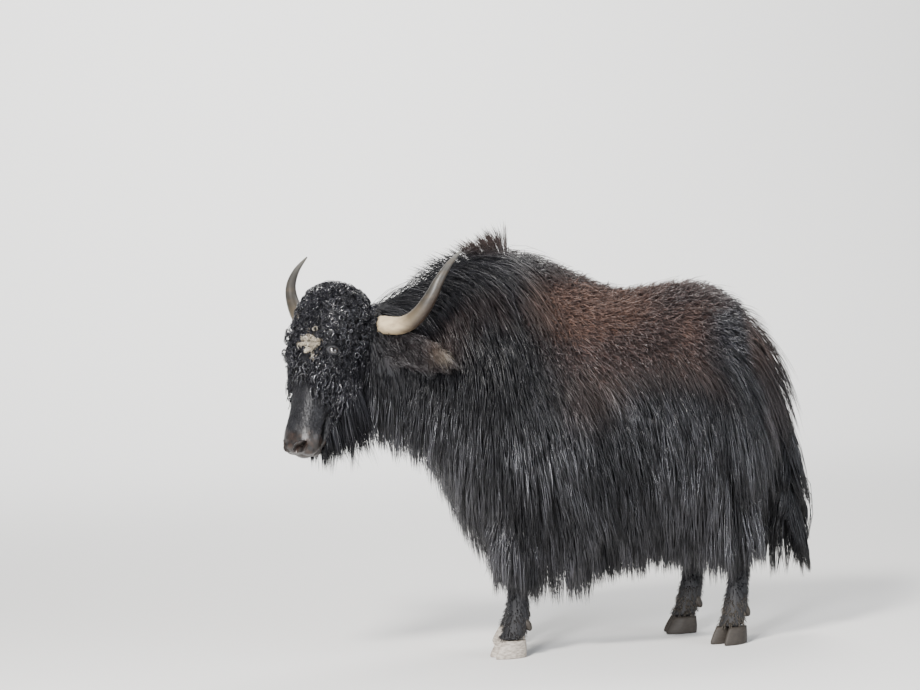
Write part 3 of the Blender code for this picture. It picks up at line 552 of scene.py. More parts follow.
for side, sign in SIDES.items():
    for s, a, d, *radii in FACE_FORM_PAIRS:
        add_ball(bm, head_point(s, a * sign, d), HEAD_AXES, radii)
    gaze = gaze_of(side)
    ahead = NOSE_WAY.cross(gaze).normalized()
    rise = ahead.cross(gaze)
    rise = rise if rise.dot(NOSE_WAY) < 0 else -rise
    add_ball(bm, eye_middle(side) - gaze * 0.012, (ahead, rise, ahead.cross(rise)), (0.032, 0.028, 0.0295))
    for lift in LID_RISE.values():
        for k in range(LID_BALLS):
            angle = math.pi * (k + 0.5) / LID_BALLS
            out = 0.0155 - 0.0065 * abs(math.cos(angle))
            place = eye_middle(side) + ahead * (math.cos(angle) * LID_REACH)
            place += rise * (math.sin(angle) * lift) + gaze * out
            add_ball(bm, place, (ahead, rise, gaze), [LID_THICKNESS] * 3, 10, 7)
face = new_piece("face_forms", bm)
print("face forms:", len(FACE_FORMS) + 2 * len(FACE_FORM_PAIRS))

# %% [markdown]
# The Remesh modifier in voxel mode replaces all forms of one group by a single even skin. The body gets
# voxels of about a centimetre, which the coat hides, and the head much smaller ones. A Boolean union, and not
# one remesh for all, joins the two, because voxels fine enough for lips would give far too many faces
# on a body this large.


# %% Melt the forms into one skin
def melted(name, pieces, voxel, smoothing):
    bm = bmesh.new()
    for piece in pieces:
        bm.from_mesh(piece.data)
        bpy.data.objects.remove(piece)
    whole = new_piece(name, bm)
    remesh = whole.modifiers.new("Remesh", "REMESH")
    remesh.mode = "VOXEL"
    remesh.voxel_size = voxel
    graph = bpy.context.evaluated_depsgraph_get()
    mesh = bpy.data.meshes.new_from_object(whole.evaluated_get(graph))
    whole.modifiers.clear()
    whole.data = mesh
    bm = bmesh.new()
    bm.from_mesh(mesh)
    every_axis = {"use_axis_" + axis: True for axis in "xyz"}
    for _ in range(smoothing):
        bmesh.ops.smooth_vert(bm, verts=bm.verts, factor=0.5, **every_axis)
    bm.to_mesh(mesh)
    bm.free()
    return whole


BODY_VOXEL = 0.013
HEAD_VOXEL = 0.0038
skin = melted("skin", [trunk, tail] + legs, BODY_VOXEL, 4)
head = melted("head_skin", [skull, jaw, face] + ears, HEAD_VOXEL, 1)
union = skin.modifiers.new("Union", "BOOLEAN")
union.operation = "UNION"
union.solver = "MANIFOLD"
union.object = head
graph = bpy.context.evaluated_depsgraph_get()
joined = bpy.data.meshes.new_from_object(skin.evaluated_get(graph))
skin.modifiers.clear()
skin.data = joined
bpy.data.objects.remove(head)
print("skin faces:", len(skin.data.polygons), "seconds:", round(time.time() - START, 1))

# %% [markdown]
# Nostrils and the mouth are dents in this skin. A short row of points marks where each runs. Every point of
# the skin near such a row is moved inwards, the nearer the deeper, and the points round it a little outwards,
# which gives the swollen rims that a cut with a Boolean would not have.

# %% Nostrils and mouth
# s, a and d, then half the width of the dent.
NOSTRIL = [
    (0.551, 0.022, 0.047, 0.0050), (0.545, 0.034, 0.051, 0.0095), (0.536, 0.047, 0.050, 0.0090),
    (0.524, 0.058, 0.044, 0.0050),
]
NOSTRIL_DEPTH = 0.022
NOSTRIL_RIM = 0.0045
MOUTH = [
    (0.548, 0.000, -0.026, 0.0045), (0.540, 0.030, -0.026, 0.0045), (0.520, 0.052, -0.026, 0.0045),
    (0.480, 0.064, -0.030, 0.0045), (0.445, 0.066, -0.034, 0.0045),
]
MOUTH_DEPTH = 0.009
MOUTH_RIM = 0.0015
RIM_PLACE = 1.75
RIM_SOFTNESS = 0.45
DENT_REACH = 3


def tree_of(points):
    """A search tree that finds the nearest of these points."""
    tree = KDTree(len(points))
    for k, place in enumerate(points):
        tree.insert(Vector(place), k)
    tree.balance()
    return tree


bm = bmesh.new()
bm.from_mesh(skin.data)
bm.normal_update()
# Points along the creases, where painted shade later blackens the skin.
shaded_crease_spots = []
for rows, depth, rim in ((NOSTRIL, NOSTRIL_DEPTH, NOSTRIL_RIM), (MOUTH, MOUTH_DEPTH, MOUTH_RIM)):
    for side in SIDES:
        surface = BVHTree.FromBMesh(bm)
        line = [(surface.find_nearest(head_point(s, a * SIDES[side], d))[0], width)
                for s, a, d, width in filled_in(rows, 8)]
        shaded_crease_spots += line
        tree = tree_of([place for place, _ in line])
        moves = {}
        for vert in bm.verts:
            _, k, gap = tree.find(vert.co)
            away = gap / line[k][1]
            if away < DENT_REACH:
                swell = rim * math.exp(-(((away - RIM_PLACE) / RIM_SOFTNESS) ** 2))
                moves[vert] = vert.normal * (swell - depth * math.exp(-(away**2)))
        for vert, move in moves.items():
            vert.co += move
        bm.normal_update()
bm.to_mesh(skin.data)
bm.free()
print("creases:", len(shaded_crease_spots), "points")

# %% [markdown]
# ## The skin as numbers
#
# The coat has tens of thousands of locks, far too many to place one by one, so the skin is read into arrays
# and all locks of a kind are worked out together. Each point of the skin is told which form it lies on and
# where on that form, because a leg's hair is not a neck's hair. The nearest points of the forms, kept when
# the sections were made, give both.

# %% Zones of the skin
rng = np.random.default_rng(7)


def unit(vectors):
    return vectors / np.maximum(np.linalg.norm(vectors, axis=-1, keepdims=True), 1e-9)


def smooth_between(low, high, value):
    t = np.clip((value - low) / (high - low), 0, 1)
    return t * t * (3 - 2 * t)


mesh = skin.data
mesh.calc_loop_triangles()
skin_points = np.array([v.co for v in mesh.vertices])
skin_normals = np.array([n.vector for n in mesh.vertex_normals])
skin_triangles = np.array([t.vertices for t in mesh.loop_triangles])

ZONES = list(form_points)
NEAR = 4
tree = tree_of(np.concatenate([points for points, _ in form_points.values()]))
form_wraps = np.concatenate([wrap for _, wrap in form_points.values()])
form_zones = np.repeat(np.arange(len(ZONES)), [len(points) for points, _ in form_points.values()])
skin_wrap = np.zeros((len(skin_points), 2))
skin_zone = np.zeros(len(skin_points), int)
for k, place in enumerate(skin_points):
    near = tree.find_n(Vector(place), NEAR)
    first = near[0][1]
    skin_zone[k] = form_zones[first]
    total, at = 0.0, np.zeros(2)
    for _, index, gap in near:
        if form_zones[index] == form_zones[first]:
            weight = 1 / (gap + 1e-4)
            step = form_wraps[index] - form_wraps[first]
            step[1] -= round(step[1])
            at += step * weight
            total += weight
    skin_wrap[k] = form_wraps[first] + at / total
skin_wrap[:, 1] %= 1.0
for index, name in enumerate(ZONES):
    print(f"{name}: {np.count_nonzero(skin_zone == index)} points")

# %% [markdown]
# Hair must neither sink into the body nor float off it. A grid of cells over the whole animal holds, for each
# corner, how far it is from the skin and which way is out. Any number of hair points can then be looked up
# in it at once, which is much quicker than asking for the nearest face every time.

# %% Distance to the skin on a grid
CELL = 0.02
GRID_ROOM = 0.10
FAR = 0.12
surface = BVHTree.FromPolygons(skin_points.tolist(), skin_triangles.tolist())
grid_low = skin_points.min(0) - GRID_ROOM
grid_shape = np.ceil((np.ptp(skin_points, axis=0) + 2 * GRID_ROOM) / CELL).astype(int) + 1
gap_grid = np.full(grid_shape, FAR)
for i in range(grid_shape[0]):
    for j in range(grid_shape[1]):
        for k in range(grid_shape[2]):
            place = Vector(grid_low + np.array((i, j, k)) * CELL)
            spot, normal, _, gap = surface.find_nearest(place, FAR)
            if spot is not None:
                gap_grid[i, j, k] = math.copysign(gap, (place - spot).dot(normal))
slope_grid = np.stack(np.gradient(gap_grid, CELL), axis=-1)


def look_up(points):
    """Distance from the skin, and the way out of it, at any number of points."""
    at = np.clip((points - grid_low) / CELL, 0, np.array(grid_shape) - 1.001)
    base = at.astype(int)
    part = at - base
    gap, slope = 0.0, 0.0
    for corner in np.ndindex(2, 2, 2):
        weight = np.prod(np.where(corner, part, 1 - part), axis=-1)
        i, j, k = (base + corner).T
        gap = gap + weight * gap_grid[i, j, k]
        slope = slope + weight[:, None] * slope_grid[i, j, k]
    return gap, unit(slope)


print("grid:", list(grid_shape), "seconds:", round(time.time() - START, 1))

# %% [markdown]
# ## Markings
#
# The coat is black, but wool on the back has bleached to a rusty brown, which tinges the mane and the ears
# too. A white star sits on the forehead, and the feet are dusty. One function gives those masks for any
# points. The skin and every lock use it, so no colour ends at the edge of a piece.

# %% Markings and places on the head
HEAD_WAYS = np.array((NOSE_WAY, HEAD_LEFT, FACE_OUT))
DOWN_NOSE, TO_LEFT, _ = HEAD_WAYS
STAR = (0.172, 0.024, 0.040)


def on_head(points):
    """s, a and d of points in the frame of the head."""
    return (points - np.array(POLL)) @ HEAD_WAYS.T


def ripple(points, scale, seed):
    """Soft irregular blotches between 0 and 1, from a few waves that cross."""
    waves = np.random.default_rng(seed)
    total = 0.0
    for _ in range(6):
        way = unit(waves.normal(size=3)) * waves.uniform(0.6, 1.6) * scale
        total = total + np.sin(points @ way + waves.uniform(0, 6.28))
    return np.clip(0.5 + total / 5, 0, 1)


def markings(points):
    """How brown and how pale the coat is at these points."""
    x, _, z = points.T
    patch = ripple(points, 16, 3)
    edge = (patch - 0.5) * 0.16
    saddle = smooth_between(-0.20, 0.16, x + edge) * (1 - smooth_between(0.50, 0.68, x + edge))
    saddle *= smooth_between(0.76, 0.96, z + edge)
    saddle *= 0.55 + 0.45 * smooth_between(1.08, 1.22, z + edge)
    mane = smooth_between(1.04, 1.12, z + edge) * (1 - smooth_between(1.19, 1.25, z + edge))
    mane *= smooth_between(-0.44, -0.36, x) * (1 - smooth_between(-0.20, -0.10, x))
    crest = smooth_between(1.36, 1.42, z) * smooth_between(-0.40, -0.34, x)
    crest *= 1 - smooth_between(-0.08, 0.02, x)
    rump = smooth_between(0.66, 0.71, x) * smooth_between(0.88, 0.98, z) * 0.60
    dock = smooth_between(0.70, 0.74, x) * smooth_between(0.60, 0.80, z) * 0.25
    brown = np.maximum.reduce([saddle, mane * 0.30, crest * 0.7, rump, dock])
    s, a, d = on_head(points).T
    fawn = 0.0
    for side in SIDES:
        along, across, _ = (np.array(way) for way in ear_ways(side))
        away = points - np.array(ear_root(side))
        u, v = away @ along / EAR_LENGTH, away @ across / EAR_HALF_WIDTH
        off = np.linalg.norm(away - (away @ along)[:, None] * along, axis=1)
        on_ear = smooth_between(-0.05, 0.15, u) * (1 - smooth_between(1.10, 1.25, u))
        on_ear = on_ear * (1 - smooth_between(0.060, 0.085, off))
        tan = np.exp(-(((u - 0.72) / 0.16) ** 2) - ((v - 0.1) / 0.5) ** 2)
        brown = np.maximum(brown, on_ear * (0.16 + 0.60 * tan))
        fawn = np.maximum(fawn, on_ear * tan * 0.20)
    size = np.hypot((s - STAR[0]) * 1.1, a - STAR[1]) + (ripple(points, 110, 12) - 0.5) * 0.045
    star = (1 - smooth_between(STAR[2] * 0.75, STAR[2] * 1.1, size)) * (d > 0)
    dust = (1 - smooth_between(0.12, 0.19, z)) * (0.03 + 0.15 * smooth_between(0.2, 0.3, x))
    return brown * (0.55 + 0.45 * patch), np.maximum.reduce([star, dust, fawn])


brown, pale = markings(skin_points)
print("brown share:", round(float(brown.mean()), 3), "pale share:", round(float(pale.mean()), 3))

# %% [markdown]
# The zones become masks, one for each part of the body. The neck's hair is short near the ears, so every
# point of the neck is also told how far the nearest ear is.

# %% Masks of the zones
NECK_END = -0.25
ZONE = {name: skin_zone == k for k, name in enumerate(ZONES)}
on_trunk = ZONE["trunk"].astype(float)
head_zone = ZONE["skull"] | ZONE["jaw"]
on_ears = ZONE["ear_form_left"] | ZONE["ear_form_right"]
on_legs = np.any([ZONE["leg_form_" + foot] for foot in FEET], axis=0)
x, y, z = skin_points.T
s, a, d = on_head(skin_points).T
ear_gap = np.full(len(skin_points), FAR)
ear_tree = tree_of(skin_points[on_ears])
for k in np.flatnonzero(ZONE["trunk"] & (x < NECK_END)):
    ear_gap[k] = ear_tree.find(Vector(skin_points[k]))[2]
print("points on the ears:", np.count_nonzero(on_ears))

# %% [markdown]
# ## How hair grows
#
# A lock starts under the skin, leaves it along the lie of the coat, and bends down under its own weight.
# After each step the grid says whether it has come too near to the body, and pushes it out again. The
# `lift` differs from lock to lock, so that locks lie over each other in layers as real hair does. A number
# that chance decides is given as a pair, the lowest and the highest it may be.

# %% Roots of the hair
DOWN = np.array((0.0, 0.0, -1.0))
ROOT_DEPTH = 0.006
SHORT_ROOT = 0.002
# How many locks there are of each kind.
LOCKS = {
    "long guides": 4000, "long": 18400, "loose": 9000, "wool": 10000, "crest": 1200, "tail": 3200,
    "tail guides": 80, "legs": 5000, "ears": 3100, "ringlets": 640, "cheeks": 1900, "nose": 3600,
    "beard": 3900, "star": 240,
}


def scatter(count, density):
    """Random places on the skin, as many as asked, where the density at its points is high."""
    a, b, c = (skin_points[skin_triangles[:, k]] for k in range(3))
    weight = np.linalg.norm(np.cross(b - a, c - a), axis=1) * density[skin_triangles].mean(axis=1)
    pick = rng.choice(len(weight), count, p=weight / weight.sum())
    share = rng.dirichlet((1, 1, 1), count)
    corners = skin_triangles[pick]
    at, out = (np.einsum("nk,nkj->nj", share, values[corners]) for values in (skin_points, skin_normals))
    nearest = corners[np.arange(count), share.argmax(axis=1)]
    return {
        "at": at,
        "out": unit(out),
        "zone": skin_zone[nearest],
        "wrap": skin_wrap[nearest] + rng.uniform(-0.002, 0.002, (count, 2)),
        "ear_gap": ear_gap[nearest],
    }


def spaced(roots, gap, most):
    """Leaves out places that lie nearer than gap to one already kept."""
    kept = []
    for k, place in enumerate(roots["at"]):
        if len(kept) < most and (not kept or np.linalg.norm(roots["at"][kept] - place, axis=1).min() > gap):
            kept.append(k)
    return {key: values[kept] for key, values in roots.items()}


def drawn(value, size):
    """Random numbers where value is a pair, and value itself where it isn't."""
    return rng.uniform(*value, size) if isinstance(value, tuple) else value


def strewn(roots, way, spread):
    """A way for each root, turned a little by chance."""
    return way + rng.normal(0, spread, roots["at"].shape)


# %% [markdown]
# The path of a lock is a row of points. It is worked out step by step for all locks of a kind at once. Waves
# are added afterwards, around the finished path.


# %% Growing paths
def along_skin(ways, out):
    """The ways without their part along the normal."""
    return unit(ways - out * np.sum(ways * out, axis=1, keepdims=True))


def grow(roots, way, length, steps, lift, weight, rise, depth=ROOT_DEPTH):
    """Paths of hair: way is its lie at the root, weight how strongly it bends down at each step."""
    length, lift = drawn(length, len(way)), drawn(lift, len(way))
    way = unit(along_skin(way, roots["out"]) * (1 - rise) + roots["out"] * rise)
    path = [roots["at"] - roots["out"] * depth]
    for k in range(1, steps):
        way = unit(way + DOWN * weight)
        place = path[-1] + way * (length / (steps - 1))[:, None]
        gap, out = look_up(place)
        wanted = lift * min(1.0, 2.2 * k / (steps - 1))
        place = place + out * np.clip(wanted - gap, 0, 0.04)[:, None]
        way = unit(place - path[-1])
        path.append(place)
    return np.stack(path, axis=1)


def across_of(path, roots):
    """The way across each path, along the skin."""
    return unit(np.cross(path[:, -1] - path[:, 0], roots["out"]))


def wavy(path, across, size, waves):
    """Adds waves to paths. Size is their height, and waves how many there are along a path."""
    count, steps, _ = path.shape
    size, waves = drawn(size, (count, 1)), drawn(waves, (count, 1))
    t = np.linspace(0, 1, steps)
    phase = rng.uniform(0, 2 * math.pi, (count, 1)) + 2 * math.pi * waves * t
    swell = (size * np.sqrt(t))[..., None]
    out = unit(np.cross(across, path[:, -1] - path[:, 0]))[:, None]
    return path + swell * (np.sin(phase)[..., None] * across[:, None] + np.cos(phase)[..., None] * out)


# %% [markdown]
# Hair gathers in locks, because neighbouring hairs cling together. A few paths are chosen as guides. All
# others then close on the guide nearest to their root, more and more towards the tip, which gives the
# ragged hem its points.


# %% Clumping
def clumped(path, guides, tightness):
    """The paths closed on their guides, and the number of each path's guide."""
    tree = tree_of(guides[:, 0])
    nearest = np.array([tree.find(Vector(place))[1] for place in path[:, 0]])
    t = np.linspace(0, 1, path.shape[1])[None, :, None]
    pull = tightness * t**1.3
    lead = guides[nearest]
    path = path + (lead - lead[:, :1] - (path - path[:, :1]) + (lead[:, :1] - path[:, :1]) * 0.85) * pull
    return path, nearest


# %% [markdown]
# A lock is drawn as a thin closed body with three sides: two edges and a ridge between them, running into one
# point at the tip. That is the fewest faces that still catch light like a rounded strand. Every point also
# gets its markings, a random number that stays the same along the lock and is scaled by the lock's painted
# light and shade, and its share of the way to the tip. For baking, each lock is a tiny patch at its root's
# place on the tile of its zone.

# %% Faces, markings and patches of locks
TILES_ACROSS = 4
TILE_MARGIN = 0.03
TILE_SHARE = 0.94
PATCH = 0.003


def lock_faces(steps):
    """Triangles of one lock, with three points at each step but the last, which is the tip."""
    sides = ((0, 1), (1, 2), (2, 0))
    faces = [(0, 2, 1)]
    for low in range(0, 3 * (steps - 2), 3):
        for a, b in sides:
            faces += [(low + a, low + b, low + 3 + b), (low + a, low + 3 + b, low + 3 + a)]
    last = 3 * (steps - 2)
    return np.array(faces + [(last + a, last + b, last + 3) for a, b in sides])


def write_values(mesh, name, values):
    """Writes a number, or a colour of four numbers, to each point of a mesh."""
    kind, key = ("FLOAT_COLOR", "color") if values.ndim == 2 else ("FLOAT", "value")
    mesh.attributes.new(name, kind, "POINT").data.foreach_set(key, values.astype(np.float32).ravel())


def paint_locks(mesh, points, roots, light, along):
    tone = np.zeros((*points.shape[:2], 4))
    tone[..., 0] = markings(points.reshape(-1, 3))[0].reshape(points.shape[:2])
    tone[..., 1] = (markings(roots["at"])[1] * roots.get("pale", 1.0))[:, None]
    # A random number times the lock's painted light and shade.
    tone[..., 2] = rng.random((len(points), 1)) * light[:, None]
    tone[..., 3] = along
    write_values(mesh, "tone", tone.reshape(-1, 4))


def wrap_locks(mesh, roots, faces, along):
    tile = np.stack([roots["zone"] % TILES_ACROSS, roots["zone"] // TILES_ACROSS], axis=1)
    place = (tile + TILE_MARGIN + TILE_SHARE * np.clip(roots["wrap"], 0, 1)) / TILES_ACROSS
    local = np.zeros((len(along), 2))
    local[:-1, 0] = np.tile((0, PATCH / 2, PATCH), len(along) // 3)
    local[-1, 0] = PATCH / 2
    local[:, 1] = PATCH * along
    uv = (place[:, None] + local)[:, faces].astype(np.float32)
    mesh.uv_layers.new(name="OFBake").data.foreach_set("uv", uv.ravel())


# %% [markdown]
# `foreach_set` writes all locks of a piece into one mesh at once, because bmesh would take minutes for
# them. A kind of hair with too many triangles for one piece is cut into several, from head to tail.

# %% Locks as one mesh
MOST_TRIANGLES = 190_000
coat_pieces = []


def lock_mesh(name, path, roots, width, flatness, twist, light):
    """One mesh of closed, pointed locks along the paths."""
    count, steps, _ = path.shape
    way = unit(np.gradient(path, axis=1))
    _, out = look_up(path.reshape(-1, 3))
    out = out.reshape(path.shape) + roots["out"][:, None] * 0.4
    flat = unit(np.cross(way, out))
    steep = unit(np.cross(flat, way))
    angle = rng.uniform(-twist, twist, (count, 1, 1))
    across = flat * np.cos(angle) + steep * np.sin(angle)
    ridge = steep * np.cos(angle) - flat * np.sin(angle)
    t = np.linspace(0, 1, steps)[None, :, None]
    half = width[:, None, None] / 2 * (0.6 + 0.7 * t) * (1 - t) ** 0.55
    rings = np.stack([path - across * half, path + ridge * half * flatness * 2, path + across * half], axis=2)
    points = np.concatenate([rings[:, :-1].reshape(count, -1, 3), path[:, -1:]], axis=1)
    faces = lock_faces(steps)
    corners = (faces[None] + np.arange(count)[:, None, None] * points.shape[1]).reshape(-1)
    mesh = bpy.data.meshes.new(name)
    mesh.vertices.add(points.shape[0] * points.shape[1])
    mesh.vertices.foreach_set("co", points.astype(np.float32).ravel())
    mesh.loops.add(len(corners))
    mesh.loops.foreach_set("vertex_index", corners.astype(np.int32))
    mesh.polygons.add(len(corners) // 3)
    mesh.polygons.foreach_set("loop_start", np.arange(0, len(corners), 3, dtype=np.int32))
    mesh.update(calc_edges=True)
    mesh.polygons.foreach_set("use_smooth", np.ones(len(corners) // 3, bool))
    along = np.append(np.repeat(t[0, :-1, 0], 3), 1.0)
    paint_locks(mesh, points, roots, light, along)
    wrap_locks(mesh, roots, faces, along)
    return new_object(name, mesh)


def add_coat(name, path, roots, width, flatness, twist, light=1.0):
    """Adds locks to the coat, in as many pieces as their number asks for, sorted from head to tail."""
    count = len(path)
    light = np.broadcast_to(drawn(light, count), count)
    width = drawn(width, count)
    per_lock = len(lock_faces(path.shape[1]))
    parts = np.array_split(np.argsort(roots["at"][:, 0]), math.ceil(count * per_lock / MOST_TRIANGLES))
    for k, part in enumerate(parts):
        some = {key: values[part] for key, values in roots.items()}
        piece = lock_mesh(f"{name}_{k + 1}", path[part], some, width[part], flatness, twist, light[part])
        coat_pieces.append(piece)
    print(f"{name}: {count} locks, {count * per_lock} triangles, {len(parts)} pieces")


# %% [markdown]
# ## The long coat
#
# On the flanks, shoulders, chest and thighs the hair hangs almost to the ground. Functions say how the hair
# at any place lies, how far it is to the hem, how much the coat bulges there, and how much painted shade and
# painted sheen its colour gets. All locks ask the same functions, so neighbours agree. A few shallow clefts
# part the coat where the limbs move, and painted shade darkens them.

# %% Lie, length and relief of the trunk's hair
WOOL_LINE = 0.98
wool_share = smooth_between(-0.22, -0.02, x) * smooth_between(WOOL_LINE - 0.08, WOOL_LINE + 0.10, z)
wool_share *= 1 - smooth_between(0.60, 0.72, x)
TIP_SHIFT = 0.045
# Clefts behind the shoulder, before the thigh and across the chest: x at a height of 0.7, and slope.
PARTINGS = [(0.125, 0.10), (0.560, 0.16), (-0.215, 0.25)]
PARTING_WIDTH = 0.030
MIDDLE_LINE = np.array(TRUNK)[::-1, :2]


def flank_flow(points):
    """The lie of the trunk's hair: backwards on top, then down. The mane falls to both sides."""
    x, y, z = points.T
    aside = y - np.interp(x, MIDDLE_LINE[:, 0], MIDDLE_LINE[:, 1])
    steep = 1 - smooth_between(0.90, 1.25, z)
    neck = 1 - smooth_between(-0.45, -0.15, x)
    mane = (1 - smooth_between(-0.14, 0.10, x)) * smooth_between(0.03, 0.13, np.abs(aside))
    slant = 0.30 * smooth_between(-0.30, 0.02, x) - 0.16 * smooth_between(0.54, 0.68, x)
    backwards = (slant + (1 - slant) * (1 - steep)) * (1 - 0.72 * mane)
    back = np.stack([backwards, np.sign(aside) * 0.6 * mane * (1 - steep), np.zeros_like(x)], axis=1)
    fall = np.stack([np.zeros_like(x), np.zeros_like(x), -(0.25 + steep + neck * 0.5)], axis=1)
    sway = (ripple(points, 9, 5) - 0.5) * 0.9 + (ripple(points, 34, 6) - 0.5) * 0.6
    return back + fall + sway[:, None] * np.array((1.0, 0, 0)) + rng.normal(0, 0.09, points.shape)


def drop_to_hem(points, longest, shortest):
    """Length that a lock needs to reach the hem. Its tip ends a little behind its root."""
    hem = np.interp(points[:, 0] + TIP_SHIFT, HEM[:, 0], HEM[:, 1])
    return np.clip(points[:, 2] - hem, shortest, longest)


def relief_of(points):
    """How far the coat bulges, from 0 in the partings to 1 on the swells."""
    x, _, z = points.T
    relief = 0.35 + 0.65 * ripple(points, 15, 8)
    for place, slope in PARTINGS:
        away = (x - place - slope * (0.7 - z) + 0.02 * np.sin(z * 21)) / PARTING_WIDTH
        relief = relief * (1 - 0.95 * np.exp(-(away**2)) * (1 - smooth_between(0.82, 0.95, z)))
    return relief


def painted_light_of(points):
    """Painted light of the locks: painted shade in the partings and hollows of the relief, a painted sheen
    low down.
    """
    # Painted sheen: the lower flank is made lighter.
    low = 1 - smooth_between(0.66, 0.94, points[:, 2])
    return (0.10 + 0.90 * relief_of(points)) * (1 + 1.0 * low)


print("share of wool:", round(float(wool_share.mean()), 3))

# %% [markdown]
# A long lock is as long as the way from its root to the hem, but at most 34 centimetres, or 46 on the
# thighs. Those that start high end half way and are covered by the next. Chance takes up to 30 percent off
# a length, and 42 off a guide's, so that the tips lie at many heights. A clump is about as light all over,
# within the painted shade of the partings, a painted sheen low down, a painted shadow under the ears and
# a painted shade high on the mane.

# %% Flanks, shoulders, chest and thighs
LONG_STEPS = 6
density = on_trunk * (1 - 0.9 * wool_share) * (1 - 0.8 * smooth_between(0.14, 0.05, np.abs(y)) * (z < 0.6))
density *= (1 + 1.8 * (1 - smooth_between(0.52, 0.72, z))) * smooth_between(0.010, 0.030, ear_gap)
density += on_legs * 2.2 * smooth_between(0.34, 0.42, z)
guide_roots = scatter(LOCKS["long guides"], density)
roots = scatter(LOCKS["long"], density)


def long_paths(roots, ragged):
    """Paths of the long coat. Ragged is the largest share that chance takes off a length."""
    x, _, z = roots["at"].T
    low = 1 - smooth_between(0.50, 0.62, z)
    thigh = smooth_between(0.50, 0.62, x)
    elbow = np.exp(-(((x - 0.01) / 0.08) ** 2))
    near_head = 1 - smooth_between(-0.62, -0.35, x)
    length = drop_to_hem(roots["at"], 0.30 + 0.13 * thigh, 0.09) * (1.03 + 0.19 * low + 0.20 * elbow)
    length *= 1 - ragged * rng.random(len(x)) ** 1.6
    length = np.minimum(length, 0.34 + 0.12 * thigh - 0.14 * near_head)
    lift = 0.005 + 0.031 * relief_of(roots["at"]) * rng.uniform(0.1, 1.0, len(x))
    lift += 0.016 * smooth_between(1.16, 1.26, z) * smooth_between(-0.02, -0.16, x)
    by_ear = 1 - smooth_between(0.03, 0.09, roots["ear_gap"])
    length, lift = length * (1 - 0.72 * by_ear), lift * (1 - 0.7 * by_ear)
    return grow(roots, flank_flow(roots["at"]), length, LONG_STEPS, lift, 0.26 + 0.6 * low[:, None], 0.20)


guides = long_paths(guide_roots, 0.42)
path, nearest = clumped(long_paths(roots, 0.30), guides, 0.66)
light = painted_light_of(path[:, LONG_STEPS // 2]) * rng.uniform(0.25, 1.0, len(guides))[nearest]
# Painted shadow under the ears, and painted shade high on the mane that dims its sheen.
light *= 0.25 + 0.75 * smooth_between(0.03, 0.10, roots["ear_gap"])
light *= 1 - 0.25 * smooth_between(1.02, 1.18, roots["at"][:, 2])
path = wavy(path, across_of(path, roots), size=(0.001, 0.007), waves=(0.5, 1.6))
add_coat("coat_long", path, roots, width=(0.0035, 0.0068), flatness=0.25, twist=0.35, light=light)
print("seconds:", round(time.time() - START, 1))

# %% [markdown]
# Thinner and shorter hairs lie over the long locks and cross them at small angles. They break up the combed
# look, as loose hair does on an animal that has walked through wind.

# %% Loose hair over the locks
density = density * (1 - 0.7 * smooth_between(1.10, 1.24, z) * (x < -0.15))
roots = scatter(LOCKS["loose"], density)
height = roots["at"][:, 2:]
lie = strewn(roots, flank_flow(roots["at"]), 0.22)
length = np.minimum(drop_to_hem(roots["at"], 0.16, 0.06), 0.05 + roots["ear_gap"])
length = length * rng.uniform(0.6, 1.0, len(length))
rise = 0.22 - 0.14 * smooth_between(1.05, 1.20, height)
path = grow(roots, lie, length, steps=4, lift=(0.022, 0.036), weight=0.22, rise=rise)
# Painted shade in the partings and high on the shoulders and hump, and a painted sheen low down.
light = painted_light_of(path[:, 2]) * (1 - 0.5 * smooth_between(0.95, 1.15, height[:, 0]))
add_coat("coat_loose", path, roots, width=(0.0024, 0.0040), flatness=0.35, twist=0.6, light=light)

# %% [markdown]
# The back wears short crinkly wool. Each tuft is a few centimetres long, stands up a little and waves about
# once, so the top line looks fluffy and not combed.

# %% Wool on the back
roots = scatter(LOCKS["wool"], on_trunk * wool_share)
lie = strewn(roots, flank_flow(roots["at"]), 0.38)
path = grow(roots, lie, length=(0.030, 0.065), steps=5, lift=(0.003, 0.022), weight=0.18, rise=0.24)
path = wavy(path, across_of(path, roots), size=(0.002, 0.006), waves=(0.8, 1.5))
add_coat("coat_wool", path, roots, width=(0.0045, 0.0075), flatness=0.35, twist=0.5)

# %% [markdown]
# A crest of upright tufts stands on the hump. Their roots are the ridge of the trunk between the withers
# and the neck. The tuft at the withers is the tallest, and each one before it is lower and leans further
# forwards. Roots are drawn together into their tuft, and the hairs close on its middle as they rise.

# %% Crest on the hump
CREST_REACH = (-0.420, -0.125)
CREST_HALF_WIDTH = 0.035
CREST_HEIGHT = 0.160
CREST_TUFTS = 11
DENSE_FROM = -0.235
on_ridge = (x > CREST_REACH[0]) * (x < CREST_REACH[1]) * (np.abs(y) < CREST_HALF_WIDTH)
density = on_trunk * smooth_between(1.22, 1.28, z) * on_ridge * (1 + 3.5 * (x > DENSE_FROM))
roots = scatter(LOCKS["crest"], density)
at, count = roots["at"], LOCKS["crest"]
roots["out"] = unit(roots["out"] - 2 * DOWN)
share = np.linspace(0, 1, CREST_TUFTS)
tuft_x = CREST_REACH[1] + (CREST_REACH[0] - CREST_REACH[1]) * (share**1.5 + rng.normal(0, 0.008, CREST_TUFTS))
tuft_lean = np.stack([-1.9 * share**0.8, rng.normal(0, 0.12, CREST_TUFTS), -0.60 * share], axis=1)
tuft_height = CREST_HEIGHT * (1 - 0.62 * share) * rng.uniform(0.84, 1.0, CREST_TUFTS)
tuft_height[0] = CREST_HEIGHT
tuft = np.abs(at[:, :1] - tuft_x).argmin(axis=1)
at[:, 0] = tuft_x[tuft] + (at[:, 0] - tuft_x[tuft]) * 0.9
at[:, 1] *= 0.5
